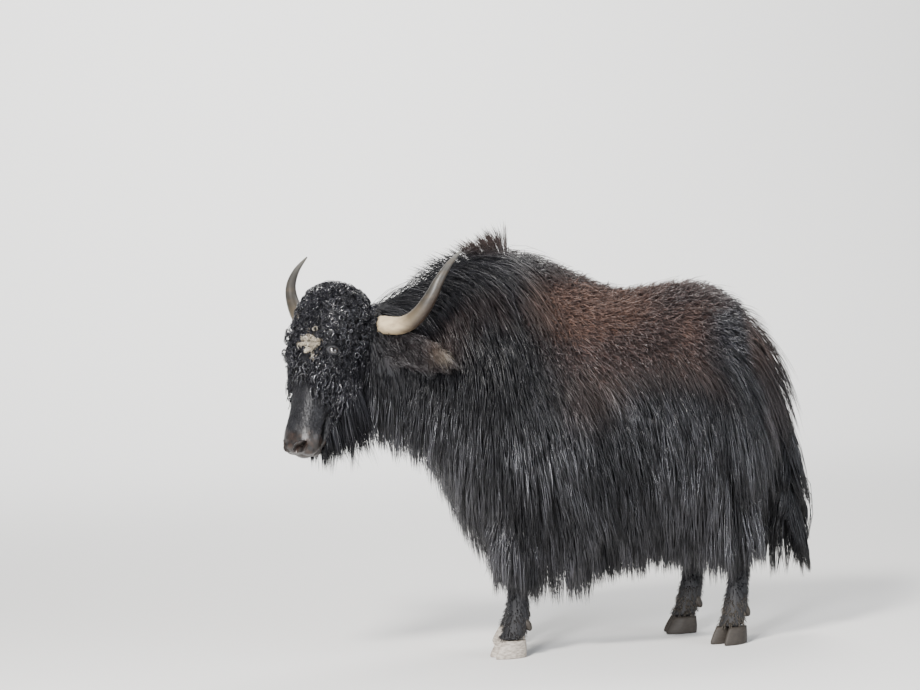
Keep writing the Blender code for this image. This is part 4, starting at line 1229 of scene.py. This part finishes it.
lean = tuft_lean[tuft] + rng.normal(0, 0.10, (count, 3)) * (1 + 2 * share[tuft])[:, None]
tall = tuft_height[tuft] * (1 - 0.42 * rng.random(count) ** 2)
t = np.linspace(0, 1, 6)[None, :, None]
inwards = np.stack([tuft_x[tuft] - at[:, 0], -at[:, 1], np.zeros(count)], axis=1)[:, None]
path = at[:, None] + DOWN * 0.012 + inwards * t**1.5 * 0.9 * (1 - 0.6 * share[tuft])[:, None, None]
path = path + tall[:, None, None] * (-DOWN * t * (1 - 0.15 * t) + lean[:, None] * t**1.4 * 0.6)
add_coat("coat_crest", path, roots, width=(0.0020, 0.0032), flatness=0.4, twist=1.5, light=(0.1, 0.6))

# %% [markdown]
# ## The tail
#
# The dock is thick and short, and hair hangs from all of it in a bush that reaches the hocks. Roots lower
# down get shorter hair, so that its ends stay together. Hair that would stand out too far behind is left out.

# %% Hair of the tail
TAIL_REACH = 0.955
TAIL_TIPS = 0.265
density = ZONE["tail_form"] * smooth_between(1.00, 0.90, z)
roots = scatter(LOCKS["tail"], density)


def tail_paths(roots):
    length = np.clip((roots["at"][:, 2] - TAIL_TIPS) * 1.25, 0.27, 0.46)
    length = length * (1 - 0.50 * rng.random(len(length)) ** 2)
    way = unit(roots["out"] * np.array((1, 1, 0)) + np.array((0.35, 0, -0.9)))
    return grow(roots, way, length, steps=7, lift=(0.006, 0.034), weight=0.16, rise=0.22)


guides = tail_paths(scatter(LOCKS["tail guides"], density))
guides = guides[guides[:, :, 0].max(axis=1) < TAIL_REACH]
path, nearest = clumped(tail_paths(roots), guides, 0.84)
light = rng.uniform(0.15, 0.65, len(guides))[nearest]
inside = path[:, :, 0].max(axis=1) < TAIL_REACH
path, light = path[inside], light[inside]
roots = {key: values[inside] for key, values in roots.items()}
path = wavy(path, across_of(path, roots), size=(0.002, 0.007), waves=(0.6, 1.5))
add_coat("coat_tail", path, roots, width=(0.0045, 0.008), flatness=0.3, twist=0.5, light=light)

# %% [markdown]
# ## Legs and ears
#
# Below the hem the hair is short and lies flat down the leg, so three points to a lock are enough. A
# painted shade darkens it on the hind legs, and it stands out a little over the claws.

# %% Hair of the legs
density = on_legs * smooth_between(0.062, 0.075, z) * (z < 0.43)
roots = scatter(LOCKS["legs"], density)
height = roots["at"][:, 2]
longest = np.minimum(0.016 + 0.022 * smooth_between(0.15, 0.40, height), height - 0.045)
lie = strewn(roots, DOWN, 0.12)
lift = rng.uniform(0.002, 0.006, len(height)) + 0.007 * (1 - smooth_between(0.075, 0.095, height))
length = longest * rng.uniform(0.7, 1.2, len(height))
path = grow(roots, lie, length, steps=3, lift=lift, weight=0.1, rise=0.20, depth=SHORT_ROOT)
# Painted shade: the hind legs are much darker than the front legs.
light = np.where(roots["at"][:, 0] > 0.2, 0.12, 0.45)
add_coat("coat_legs", path, roots, width=(0.004, 0.006), flatness=0.3, twist=0.3, light=light)

# %% [markdown]
# An ear is hairy on both sides. The hair runs out along it and hangs past its lower edge as a fringe.

# %% Hair of the ears
roots = scatter(LOCKS["ears"], on_ears.astype(float))
is_left = roots["zone"] == ZONES.index("ear_form_left")
along = np.where(is_left[:, None], *(np.array(ear_ways(side)[0]) for side in SIDES))
lie = strewn(roots, along, 0.18) + DOWN * 0.25
length = rng.uniform(0.035, 0.075, len(lie)) * (1 - 0.45 * (roots["wrap"][:, 0] > 0.8))
path = grow(roots, lie, length, steps=5, lift=(0.001, 0.010), weight=0.16, rise=0.18, depth=SHORT_ROOT)
path, _ = clumped(path, path[::24], 0.6)
add_coat("coat_ears", path, roots, width=(0.0035, 0.006), flatness=0.3, twist=0.5, light=0.40)

# %% [markdown]
# ## The head
#
# Tight ringlets cover the forehead, the poll and the upper cheeks, and a collar round each horn. A ringlet
# is four strands that wind round one middle, rise into a dome and come down again. Their middles keep a
# distance from each other, so that each curl reads as one. A random spiral looks more like real curls
# than a bent tube, because its strands differ.

# %% Ringlets
STRANDS = 4
CURL_STEPS = 11
CURL_DROP = 0.034
CURL_GAP = 0.0125
CURL_CHOICES = 3000
COLLAR_REACH = 0.058


def gap_to(points, places):
    """Distance of each point from the nearest of a few places."""
    return np.min([np.linalg.norm(points - np.array(place), axis=1) for place in places], axis=0)


eye_gap = gap_to(skin_points, [eye_middle(side) for side in SIDES])
collar = np.linalg.norm(np.stack([s, np.abs(a), d], axis=1) - HORN_COLLAR, axis=1) < COLLAR_REACH
low_line = 0.30 + 0.08 * smooth_between(0.04, 0.07, np.abs(a))
density = (head_zone & ~on_ears) * (s < low_line) * smooth_between(0.024, 0.034, eye_gap)
density = density * np.maximum(smooth_between(-0.16, -0.08, d), collar) * (1 + 0.6 * (d > 0) + 1.0 * collar)
roots = spaced(scatter(CURL_CHOICES, density), CURL_GAP, LOCKS["ringlets"])
count = len(roots["at"])
out = roots["out"]
side_way = along_skin(rng.normal(size=(count, 3)), out)
other_way = np.cross(out, side_way)
s_root, a_root, d_root = on_head(roots["at"]).T
low_face = smooth_between(0.17, 0.30, s_root)
radius = rng.uniform(0.008, 0.0155, count) * (1 - 0.40 * low_face)
puff = 0.010 * smooth_between(0.09, 0.13, np.abs(a_root)) * smooth_between(0.0, -0.06, d_root)
turns = rng.uniform(1.0, 1.6, count) * rng.choice((-1, 1), count)
t = np.linspace(0, 1, CURL_STEPS)
strands = []
for _ in range(STRANDS):
    angle = rng.uniform(-0.3, 0.3, (count, 1)) + 2 * math.pi * turns[:, None] * t
    reach = (radius * rng.uniform(0.75, 1.25, count))[:, None] * (1 - 0.55 * t)
    tall = (0.008 + radius * 0.8 + puff) * rng.uniform(0.7, 1.1, count)
    height = 0.002 + tall[:, None] * np.sin(math.pi * (0.12 + 0.62 * t))
    height[:, 0] = -0.004
    spiral = side_way[:, None] * (np.cos(angle) * reach)[..., None]
    spiral = spiral + other_way[:, None] * (np.sin(angle) * reach)[..., None]
    shift = rng.normal(0, 0.0018, (count, 1, 3))
    hang = DOWN_NOSE * (CURL_DROP * (0.15 + low_face)[:, None, None] * t[None, :, None])
    strands.append(roots["at"][:, None] + shift + spiral + hang + out[:, None] * height[..., None])
path = np.concatenate(strands)
roots = {key: np.concatenate([values] * STRANDS) for key, values in roots.items()}
roots["pale"] = rng.random(len(path)) < 0.10
add_coat("coat_ringlets", path, roots, width=(0.0040, 0.0060), flatness=0.42, twist=0.2, light=0.85)

# %% [markdown]
# Below the eyes the curls open into waves that run down and outwards over the cheeks. They are grown like
# the coat, drawn into clumps, and then waved across their own way.

# %% Cheeks
density = head_zone * smooth_between(0.17, 0.22, s) * (1 - smooth_between(0.30, 0.36, s))
density = density * (np.abs(a) > 0.035) * smooth_between(0.018, 0.026, eye_gap) * (d > -0.12)
roots = scatter(LOCKS["cheeks"], density)
sideways = np.sign(on_head(roots["at"])[:, 1:2]) * TO_LEFT
lie = strewn(roots, DOWN_NOSE + sideways * 0.5, 0.25)
path = grow(roots, lie, (0.030, 0.055), 7, lift=(0.002, 0.011), weight=0.05, rise=0.22, depth=SHORT_ROOT)
across = across_of(path, roots)
path, _ = clumped(path, path[::16], 0.7)
path = wavy(path, across, size=(0.002, 0.0045), waves=(1.3, 2.2))
add_coat("coat_cheeks", path, roots, width=(0.0028, 0.0042), flatness=0.4, twist=0.5, light=0.70)

# %% [markdown]
# On the nose the hair is short and sleek. Its lift is below zero, so nothing ever pushes it off the skin.

# %% Nose
density = head_zone * smooth_between(0.24, 0.32, s) * (1 - smooth_between(0.455, 0.49, s)) * (d > -0.06)
roots = scatter(LOCKS["nose"], density)
sideways = on_head(roots["at"])[:, 1:2] * TO_LEFT * 5
lie = strewn(roots, DOWN_NOSE + sideways, 0.10)
path = grow(roots, lie, (0.010, 0.017), steps=3, lift=-1.0, weight=0.0, rise=0.10, depth=0.0003)
add_coat("coat_nose", path, roots, width=(0.0022, 0.0034), flatness=0.2, twist=0.1, light=0.45)

# %% [markdown]
# Beard, throat and nape have straight hair again. It is longest under the jaw, short on the chin, and dark
# beside the root of the ear, where little light comes.

# %% Beard and nape
BEARD_CLUMP = 20
nape = (d < -0.06) & (s > -0.04) & ~on_ears
density = head_zone * np.maximum(smooth_between(0.16, 0.24, s) * (d < -0.045), nape * 1.6)
density = density * (1 - smooth_between(0.50, 0.515, s))
roots = scatter(LOCKS["beard"], density)
s_root = on_head(roots["at"])[:, 0]
length = (0.245 - 0.185 * smooth_between(0.36, 0.47, s_root)) * rng.uniform(0.6, 1.1, len(s_root))
length *= 0.35 + 0.65 * smooth_between(0.08, 0.24, s_root)
lie = strewn(roots, DOWN - np.array(FORWARD) * 0.25, 0.15)
path = grow(roots, lie, length, steps=5, lift=(0.002, 0.010), weight=0.35, rise=0.2, depth=SHORT_ROOT)
path, nearest = clumped(path, path[::BEARD_CLUMP], 0.65)
light = rng.uniform(0.1, 0.65, len(path) // BEARD_CLUMP + 1)[nearest]
light *= 0.15 + 0.85 * smooth_between(0.06, 0.15, gap_to(roots["at"], [ear_root(side) for side in SIDES]))
add_coat("coat_beard", path, roots, width=(0.003, 0.005), flatness=0.35, twist=0.6, light=light)

# %% [markdown]
# The star is made of pale wavy strands. They spread from a whorl in its middle and lie over the black
# ringlets around it. A few clumps with dark gaps between them read better than an even patch.

# %% Star on the forehead
STAR_CLUMP = 8
star_gap = np.hypot(s - STAR[0], a - STAR[1])
density = head_zone * (star_gap < STAR[2]) * (d > 0)
roots = scatter(LOCKS["star"], density * (ripple(skin_points, 90, 11) > 0.50))
place = on_head(roots["at"])
lie = (place[:, :1] - STAR[0]) * DOWN_NOSE + (place[:, 1:2] - STAR[1]) * TO_LEFT
lie = strewn(roots, unit(lie) + DOWN_NOSE * 0.7, 0.35)
path = grow(roots, lie, (0.030, 0.052), steps=9, lift=(0.010, 0.020), weight=0.0, rise=0.45)
path, nearest = clumped(path, path[::STAR_CLUMP], 0.85)
light = rng.uniform(0.35, 1.0, len(path) // STAR_CLUMP)[nearest]
path = wavy(path, across_of(path, roots), size=(0.003, 0.006), waves=(1.3, 2.4))
add_coat("coat_star", path, roots, width=(0.0028, 0.0044), flatness=0.45, twist=0.5, light=light)
print("coat pieces:", len(coat_pieces), "seconds:", round(time.time() - START, 1))

# %% [markdown]
# ## Horns, hooves and eyes
#
# Horn grows from the root, year by year, which leaves shallow rings there. The rings are part of the
# sections: a wave makes some a little wider, and it fades towards the tip. A number from 0 at the root to 1
# at the tip colours the horn, and a second one marks its underside, where a painted brown shade darkens it.

# %% Horns
# To the side, forward and up from the poll, then radius.
HORN = [
    (0.063, -0.072, -0.102, 0.031), (0.143, -0.090, -0.105, 0.031), (0.228, -0.104, -0.108, 0.030),
    (0.295, -0.114, -0.078, 0.027), (0.345, -0.128, -0.020, 0.0225), (0.371, -0.146, 0.035, 0.0175),
    (0.382, -0.185, 0.088, 0.011), (0.387, -0.242, 0.134, 0.003),
]
HORN_SIDES = 28
HORN_STEPS = 12
RING_DEPTH = 0.025
RING_PACE = 1.9


def new_horn(side):
    rows = filled_in(HORN, HORN_STEPS)
    points = [POLL + HEAD_LEFT * (row[0] * SIDES[side]) + FORWARD * row[1] + UP * row[2] for row in rows]
    bm = bmesh.new()
    rings = []
    for k, (place, row) in enumerate(zip(points, rows)):
        way = (points[min(k + 1, len(points) - 1)] - points[max(k - 1, 0)]).normalized()
        across = way.cross(FORWARD).normalized()
        share = k / (len(rows) - 1)
        ring = 1 + RING_DEPTH * math.sin(k * RING_PACE) * max(0.0, 1 - 1.6 * share)
        rings.append(add_section(bm, HORN_SIDES, place, across, way.cross(across), *[row[3] * ring] * 3))
    joined_sections(bm, rings)
    horn = new_piece("horn_visual_" + side, bm)
    share = np.arange(len(horn.data.vertices)) // HORN_SIDES / (len(rows) - 1)
    # Painted shade on the faces that turn down and back, away from the lamps.
    underside_shade = np.array([normal.vector.x * 0.6 - normal.vector.z * 0.8 for normal in horn.data.vertex_normals])
    underside_shade = smooth_between(-0.30, 0.70, underside_shade) * np.exp(-(((share - 0.50) / 0.30) ** 2))
    write_values(horn.data, "tone", np.stack([share, underside_shade, 0 * share, 1 + 0 * share], axis=1))
    return horn


horns = {side: new_horn(side) for side in SIDES}
print("horn faces:", len(horns["left"].data.polygons))

# %% [markdown]
# A hoof is a pair of claws. Each has a flat sole, a narrow toe and a rounded heel, from a few sections like
# the rest. The edge of the sole gets a small bevel, because a worn hoof is never sharp. Two small dewclaws
# hang behind each foot.

# %% Claws and dewclaws
CLAW_SIDES = 24
CLAW_LENGTH = 0.112
CLAW_WIDTH = 0.050
CLAW_CLEFT = 0.007
CLAW_SPLAY = 5
CLAW_PINCH = 0.42
SOLE_BEVEL = 0.002
# Height, then the shares of length and width, and the shift forwards.
CLAW = [
    (0, 0.96, 0.92, 0.08), (0.008, 1.00, 1.00, 0.08), (0.030, 0.92, 1.00, 0.03), (0.0597, 0.74, 0.92, -0.05),
]
DEWCLAW_PLACE = (-0.056, 0.024, 0.110)
DEWCLAW_SIZE = (0.013, 0.013, 0.024)


def foot_middle(foot):
    x, y, _, rows = FEET[foot]
    ahead, _ = foot_ways(foot)
    return Vector((x, y, 0)) - ahead * rows[-1][1]


def new_claw(foot, side):
    ahead, left = foot_ways(foot)
    angle = math.radians(CLAW_SPLAY) * SIDES[side]
    toe_way = ahead * math.cos(angle) + left * math.sin(angle)
    across = UP.cross(toe_way)
    base = foot_middle(foot) + left * (SIDES[side] * (CLAW_WIDTH + CLAW_CLEFT) / 2)
    bm = bmesh.new()
    rings = []
    for z, length, width, shift in filled_in(CLAW, 3):
        place = base + UP * z + toe_way * (CLAW_LENGTH * shift)
        half, reach = CLAW_WIDTH / 2 * width, CLAW_LENGTH / 2 * length
        ring = add_section(bm, CLAW_SIDES, place, across, toe_way, half, reach, reach)
        for vert in ring:
            c = max(0.0, (vert.co - place).dot(toe_way) / reach)
            vert.co -= across * ((vert.co - place).dot(across) * CLAW_PINCH * c * c)
        rings.append(ring)
    joined_sections(bm, rings)
    rim = [e for e in bm.edges if all(abs(v.co.z) < 1e-5 for v in e.verts)]
    bmesh.ops.bevel(bm, geom=rim, offset=SOLE_BEVEL, segments=2, profile=0.5, affect="EDGES", material=-1)
    return new_piece(f"claw_visual_{foot}_{side}", bm)


def new_dewclaw(foot, side):
    ahead, left = foot_ways(foot)
    forward, aside, height = DEWCLAW_PLACE
    place = foot_middle(foot) + ahead * forward + left * (SIDES[side] * aside) + UP * height
    down = -(ahead * 0.45 + UP).normalized()
    bm = bmesh.new()
    add_ball(bm, place, (left, down.cross(left), down), DEWCLAW_SIZE, 18, 12)
    return new_piece(f"dewclaw_visual_{foot}_{side}", bm)


claws = {(foot, side): new_claw(foot, side) for foot in FEET for side in SIDES}
dewclaws = {(foot, side): new_dewclaw(foot, side) for foot in FEET for side in SIDES}
print("claws:", len(claws), "dewclaws:", len(dewclaws))

# %% [markdown]
# The eye is a dark ball with a wet front. The curls leave so little of it to see that only its glint counts,
# so it needs no pupil.


# %% Eyes
def new_eye(side):
    gaze = gaze_of(side)
    ahead = NOSE_WAY.cross(gaze).normalized()
    bm = bmesh.new()
    add_ball(bm, eye_middle(side), (ahead, gaze.cross(ahead), gaze), [EYE_RADIUS] * 3, 32, 20)
    return new_piece("eye_visual_" + side, bm)


eyes = {side: new_eye(side) for side in SIDES}
print("eyes:", len(eyes))

# %% [markdown]
# ## Finishes
#
# Every finish is a node tree. Small functions add the nodes, so that a finish reads like a recipe.


# %% Helpers for node trees
def add_node(tree, kind, **settings):
    node = tree.nodes.new(kind)
    for name, value in settings.items():
        setattr(node, name, value)
    return node


def feed(tree, value, target):
    """Links a socket to an input, or sets a plain number or colour there."""
    if hasattr(value, "is_output"):
        tree.links.new(value, target)
    else:
        target.default_value = value


def mix_colours(tree, share, low, high):
    mix = add_node(tree, "ShaderNodeMix", data_type="RGBA")
    for value, index in ((share, 0), (low, 6), (high, 7)):
        feed(tree, value, mix.inputs[index])
    return mix.outputs[2]


def scaled(tree, value, low, high, start=0.0, end=1.0):
    """Maps a value from start..end to low..high."""
    node = add_node(tree, "ShaderNodeMapRange")
    names = ("Value", "From Min", "From Max", "To Min", "To Max")
    for name, number in zip(names, (value, start, end, low, high)):
        feed(tree, number, node.inputs[name])
    return node.outputs["Result"]


def worked_out(tree, operation, first, second):
    node = add_node(tree, "ShaderNodeMath", operation=operation)
    feed(tree, first, node.inputs[0])
    feed(tree, second, node.inputs[1])
    return node.outputs[0]


def split_tone(tree):
    """The numbers of the tone attribute: its three colour channels and its alpha."""
    tone = add_node(tree, "ShaderNodeAttribute", attribute_name="tone")
    parts = add_node(tree, "ShaderNodeSeparateColor")
    tree.links.new(tone.outputs["Color"], parts.inputs["Color"])
    return (*parts.outputs, tone.outputs["Alpha"])


# %% [markdown]
# Black hair is not quite black: its colour is a very dark blue-grey, and its gloss is soft. A shared node
# group turns the markings of a piece into a colour, a roughness and a gloss, for the skin and for every
# lock, so they always agree. The black greys towards the tip, where the sun bleaches it, and is darkest at
# the root, a painted shade; the lock's random number, scaled by its painted light and shade, sets how far
# and how glossy it is. Brown wool is duller than black hair, because bleached hair loses its smooth
# scales.

# %% A group for the colour of hair
BLACK = (0.0065, 0.0065, 0.0080, 1)
BLACK_TIP = (0.042, 0.041, 0.050, 1)
BROWN = (0.048, 0.025, 0.018, 1)
BROWN_TIP = (0.108, 0.062, 0.047, 1)
PALE = (0.22, 0.18, 0.13, 1)
PALE_TIP = (0.74, 0.68, 0.55, 1)
tree = hair_tone = bpy.data.node_groups.new("hair tone", "ShaderNodeTree")
for name, kind in (("Colour", "Color"), ("Roughness", "Float"), ("Gloss", "Float")):
    tree.interface.new_socket(name=name, in_out="OUTPUT", socket_type="NodeSocket" + kind)
brown_out, pale_out, chance, tip = split_tone(tree)
# Sun-bleached tips, a painted shade at the roots, and each lock's painted light and shade.
bleach_and_painted_shade = worked_out(tree, "MULTIPLY", scaled(tree, tip, 0.25, 1.0), scaled(tree, chance, 0.0, 1.0, 0.25, 1.0))
black = mix_colours(tree, bleach_and_painted_shade, BLACK, BLACK_TIP)
rust = mix_colours(tree, scaled(tree, chance, 0.1, 1.0), BROWN, BROWN_TIP)
cream = mix_colours(tree, chance, PALE, PALE_TIP)
flecked = worked_out(tree, "MULTIPLY", brown_out, scaled(tree, chance, 0.45, 1.25))
coloured = mix_colours(tree, pale_out, mix_colours(tree, flecked, black, rust), cream)
roughness = scaled(tree, brown_out, 0.36, 0.58)
bright = scaled(tree, chance, 0.0, 1.0, 0.15, 0.85)
gloss = worked_out(tree, "MULTIPLY", bright, scaled(tree, brown_out, 1.0, 0.25))
group_out = add_node(tree, "NodeGroupOutput")
for name, value in (("Colour", coloured), ("Roughness", roughness), ("Gloss", gloss)):
    tree.links.new(value, group_out.inputs[name])
print("group:", hair_tone.name, "nodes:", len(tree.nodes))

# %% [markdown]
# Two materials finish the coat. The hair of the body has a broad, soft sheen. That of the head is sleeker,
# and a power on its gloss leaves most strands dark and lets a few sparkle.


# %% Materials of the coat
def new_material(name, numbers):
    """A material, its node tree and its shader, with the numbers that are the same all over the surface."""
    material = bpy.data.materials.new(name)
    material.use_nodes = True
    shader = material.node_tree.nodes["Principled BSDF"]
    for socket, number in numbers.items():
        shader.inputs[socket].default_value = number
    return material, material.node_tree, shader


SLEEK_PIECES = ("coat_ringlets", "coat_cheeks", "coat_star", "coat_beard")
SLEEK_SHARE = 0.58
SPARK_POWER = 2.2
gloss_numbers = {"Specular IOR Level": 0.28, "Coat Roughness": 0.27, "Coat IOR": 1.65}
coat_finish, tree, shader = new_material("coat hair", gloss_numbers)
group = add_node(tree, "ShaderNodeGroup", node_tree=hair_tone)
for name, target in (("Colour", "Base Color"), ("Roughness", "Roughness"), ("Gloss", "Coat Weight")):
    tree.links.new(group.outputs[name], shader.inputs[target])

gloss_numbers = {"Specular IOR Level": 0.15, "Coat Roughness": 0.15, "Coat IOR": 1.95}
sleek_finish, tree, shader = new_material("sleek hair", gloss_numbers)
group = add_node(tree, "ShaderNodeGroup", node_tree=hair_tone)
tree.links.new(group.outputs["Colour"], shader.inputs["Base Color"])
smoother = worked_out(tree, "MULTIPLY", group.outputs["Roughness"], SLEEK_SHARE)
tree.links.new(smoother, shader.inputs["Roughness"])
spark = worked_out(tree, "POWER", group.outputs["Gloss"], SPARK_POWER)
tree.links.new(spark, shader.inputs["Coat Weight"])
print("materials:", [material.name for material in (coat_finish, sleek_finish)])

# %% [markdown]
# The skin has the colour of the hair over it, except on the muzzle, which is bare, dark and slightly pink,
# with a fine leathery grain. Three attributes of the skin say where it is bare, where it is sleek, and where
# painted shade blackens the inside of a nostril and the line of the mouth.


# %% Material of the skin
def add_bump(tree, shader, height, strength, distance):
    bump = add_node(tree, "ShaderNodeBump")
    for name, value in (("Strength", strength), ("Distance", distance), ("Height", height)):
        feed(tree, value, bump.inputs[name])
    tree.links.new(bump.outputs["Normal"], shader.inputs["Normal"])


def add_noise(tree, scale, detail, stretch=(1, 1, 1)):
    squeeze = add_node(tree, "ShaderNodeMapping")
    noise = add_node(tree, "ShaderNodeTexNoise")
    place = add_node(tree, "ShaderNodeTexCoord")
    feed(tree, place.outputs["Object"], squeeze.inputs["Vector"])
    feed(tree, stretch, squeeze.inputs["Scale"])
    for name, value in (("Vector", squeeze.outputs["Vector"]), ("Scale", scale), ("Detail", detail)):
        feed(tree, value, noise.inputs[name])
    return noise.outputs["Fac"]


MUZZLE_DARK = (0.007, 0.0055, 0.005, 1)
MUZZLE_PINK = (0.026, 0.016, 0.012, 1)
HOLLOW_SHADE_BLACK = (0.002, 0.0015, 0.0015, 1)
skin_finish, tree, shader = new_material("hide", {"Coat Roughness": 0.32, "Specular IOR Level": 0.35})
group = add_node(tree, "ShaderNodeGroup", node_tree=hair_tone)
bare, hollow, sleek = (
    add_node(tree, "ShaderNodeAttribute", attribute_name=name).outputs["Fac"]
    for name in ("bare", "hollow", "sleek")
)
blotch = scaled(tree, add_noise(tree, 55, 4), 0, 1, 0.42, 0.72)
muzzle = mix_colours(tree, blotch, MUZZLE_DARK, MUZZLE_PINK)
coloured = mix_colours(tree, bare, group.outputs["Colour"], muzzle)
# Painted shade: nostrils and the line of the mouth are black.
tree.links.new(mix_colours(tree, hollow, coloured, HOLLOW_SHADE_BLACK), shader.inputs["Base Color"])
tree.links.new(scaled(tree, sleek, 0.65, 0.36), shader.inputs["Roughness"])
tree.links.new(scaled(tree, sleek, 0.0, 0.22), shader.inputs["Coat Weight"])
add_bump(tree, shader, add_noise(tree, 130, 6, (1, 1, 0.55)), 0.55, 0.004)
print("nodes of the hide:", len(tree.nodes))

# %% [markdown]
# Horn is pale at the root, nearly black in its middle and grey at the tip, with streaks that run along it.
# A colour ramp reads how far along the horn a point lies.

# %% Material of the horns
HORN_UNDERSIDE_SHADE = (0.018, 0.011, 0.007, 1)
HORN_STREAK = (0.07, 0.052, 0.034, 1)
HORN_COLOURS = [
    (0.00, (0.46, 0.37, 0.24, 1)), (0.26, (0.42, 0.33, 0.21, 1)), (0.40, (0.085, 0.066, 0.042, 1)),
    (0.55, (0.024, 0.021, 0.017, 1)), (0.80, (0.040, 0.038, 0.034, 1)), (1.00, (0.12, 0.115, 0.105, 1)),
]
horn_finish, tree, shader = new_material("layered horn", {"Roughness": 0.42, "Specular IOR Level": 0.40})
along, underside_shade, _, _ = split_tone(tree)
ramp = add_node(tree, "ShaderNodeValToRGB")
stops = ramp.color_ramp.elements
stops[0].color, stops[1].color = HORN_COLOURS[0][1], HORN_COLOURS[-1][1]
for place, colour in HORN_COLOURS[1:-1]:
    stops.new(place).color = colour
tree.links.new(along, ramp.inputs["Fac"])
streaks = add_noise(tree, 60, 5, (0.25, 0.6, 1))
streaked = mix_colours(tree, scaled(tree, streaks, 0, 0.5, 0.45, 0.72), ramp.outputs["Color"], HORN_STREAK)
# Painted brown shade on the underside.
tree.links.new(mix_colours(tree, underside_shade, streaked, HORN_UNDERSIDE_SHADE), shader.inputs["Base Color"])
add_bump(tree, shader, streaks, 0.25, 0.0015)
print("stops of the ramp:", len(stops))

# %% [markdown]
# Hooves are grey-beige and dull, with a painted shade that darkens the hind feet, and the dewclaws are
# black. One material does for all of them, because their place says which is which. The eye is dark and
# has a wet film, given by a coat on its shader.

# %% Materials of claws and eyes
CLAW_BEIGE = ((0.18, 0.155, 0.13, 1), (0.40, 0.36, 0.31, 1))
CLAW_BLACK_AND_SHADE = ((0.012, 0.010, 0.008, 1), (0.045, 0.037, 0.030, 1))
claw_finish, tree, shader = new_material("hoof horn", {"Roughness": 0.62, "Specular IOR Level": 0.30})
grain = add_noise(tree, 70, 4, (1, 1, 2.5))
pale_claw = mix_colours(tree, scaled(tree, grain, 0, 1, 0.35, 0.7), *CLAW_BEIGE)
dark_claw = mix_colours(tree, grain, *CLAW_BLACK_AND_SHADE)
ways = add_node(tree, "ShaderNodeSeparateXYZ")
tree.links.new(add_node(tree, "ShaderNodeTexCoord").outputs["Object"], ways.inputs[0])
is_hind = scaled(tree, ways.outputs["X"], 0, 1.0, 0.1, 0.3)
is_high = scaled(tree, ways.outputs["Z"], 0, 1.0, 0.055, 0.075)
# Painted shade on the hind claws, and the dewclaws' own black.
hind_shade_or_dewclaw = worked_out(tree, "MAXIMUM", is_hind, is_high)
tree.links.new(mix_colours(tree, hind_shade_or_dewclaw, pale_claw, dark_claw), shader.inputs["Base Color"])
add_bump(tree, shader, grain, 0.3, 0.002)

EYE_BLACK = (0.008, 0.005, 0.004, 1)
wet_numbers = {"Base Color": EYE_BLACK, "Roughness": 0.12, "Coat Weight": 1.0, "Coat Roughness": 0.03}
eye_finish, _, _ = new_material("wet eye", wet_numbers)
print("materials:", [material.name for material in bpy.data.materials])

# %% [markdown]
# The skin carries the same markings as the locks, written to its points, and the three masks of its
# material. The bare muzzle begins below a line on the nose, in the frame of the head.

# %% Markings on the skin
SKIN_LIGHT = 0.2
skin_tone = np.zeros((len(skin_points), 4))
skin_tone[:, :3] = np.stack([brown * 0.8, pale * 0.08, np.full(len(skin_points), SKIN_LIGHT)], axis=1)
write_values(skin.data, "tone", skin_tone)
edge = (ripple(skin_points, 150, 13) - 0.5) * 0.02
bare_share = head_zone * smooth_between(0.470, 0.505, s + edge + 0.25 * np.maximum(0, np.abs(a) - 0.04))
spot_tree = tree_of([place for place, _ in shaded_crease_spots])
nearest_spots = [spot_tree.find(Vector(place)) for place in skin_points]
spot_gap = np.array([gap / shaded_crease_spots[k][1] for _, k, gap in nearest_spots])
# Painted shade near the lines of the nostrils and the mouth.
hollow_shade_share = 1 - smooth_between(0.85, 1.35, spot_gap)
sleek_share = head_zone * (0.45 * smooth_between(0.28, 0.36, s) + 0.55 * bare_share) * (1 - hollow_shade_share)
for name, values in (("bare", bare_share), ("sleek", sleek_share), ("hollow", hollow_shade_share)):
    write_values(skin.data, name, values)
print("bare share:", round(float(bare_share.mean()), 3))

# %% [markdown]
# Every piece gets its material and is told which body it moves with, and the solids it stands for are
# hidden. The coat stands for no solid: it grows on the skin.


# %% Finish of every piece
def finish_piece(piece, material, slot, *nodes):
    piece.data.materials.clear()
    piece.data.materials.append(material)
    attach(piece, "root")
    if nodes:
        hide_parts(*nodes)


finish_piece(skin, skin_finish, "coat", *FLESH)
for piece in coat_pieces:
    finish_piece(piece, sleek_finish if piece.name.startswith(SLEEK_PIECES) else coat_finish, "coat")
for side in SIDES:
    finish_piece(horns[side], horn_finish, "horn", "horn_" + side)
    finish_piece(eyes[side], eye_finish, "eye", "eye_" + side)
for kind, pieces in (("claw", claws), ("dewclaw", dewclaws)):
    for (foot, side), piece in pieces.items():
        finish_piece(piece, claw_finish, "claw", f"{kind}_{foot}_{side}")
print("pieces:", 1 + len(coat_pieces) + len(horns) + len(eyes) + len(claws) + len(dewclaws))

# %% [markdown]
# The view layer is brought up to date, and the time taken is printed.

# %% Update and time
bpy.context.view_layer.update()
print("seconds:", round(time.time() - START, 1))
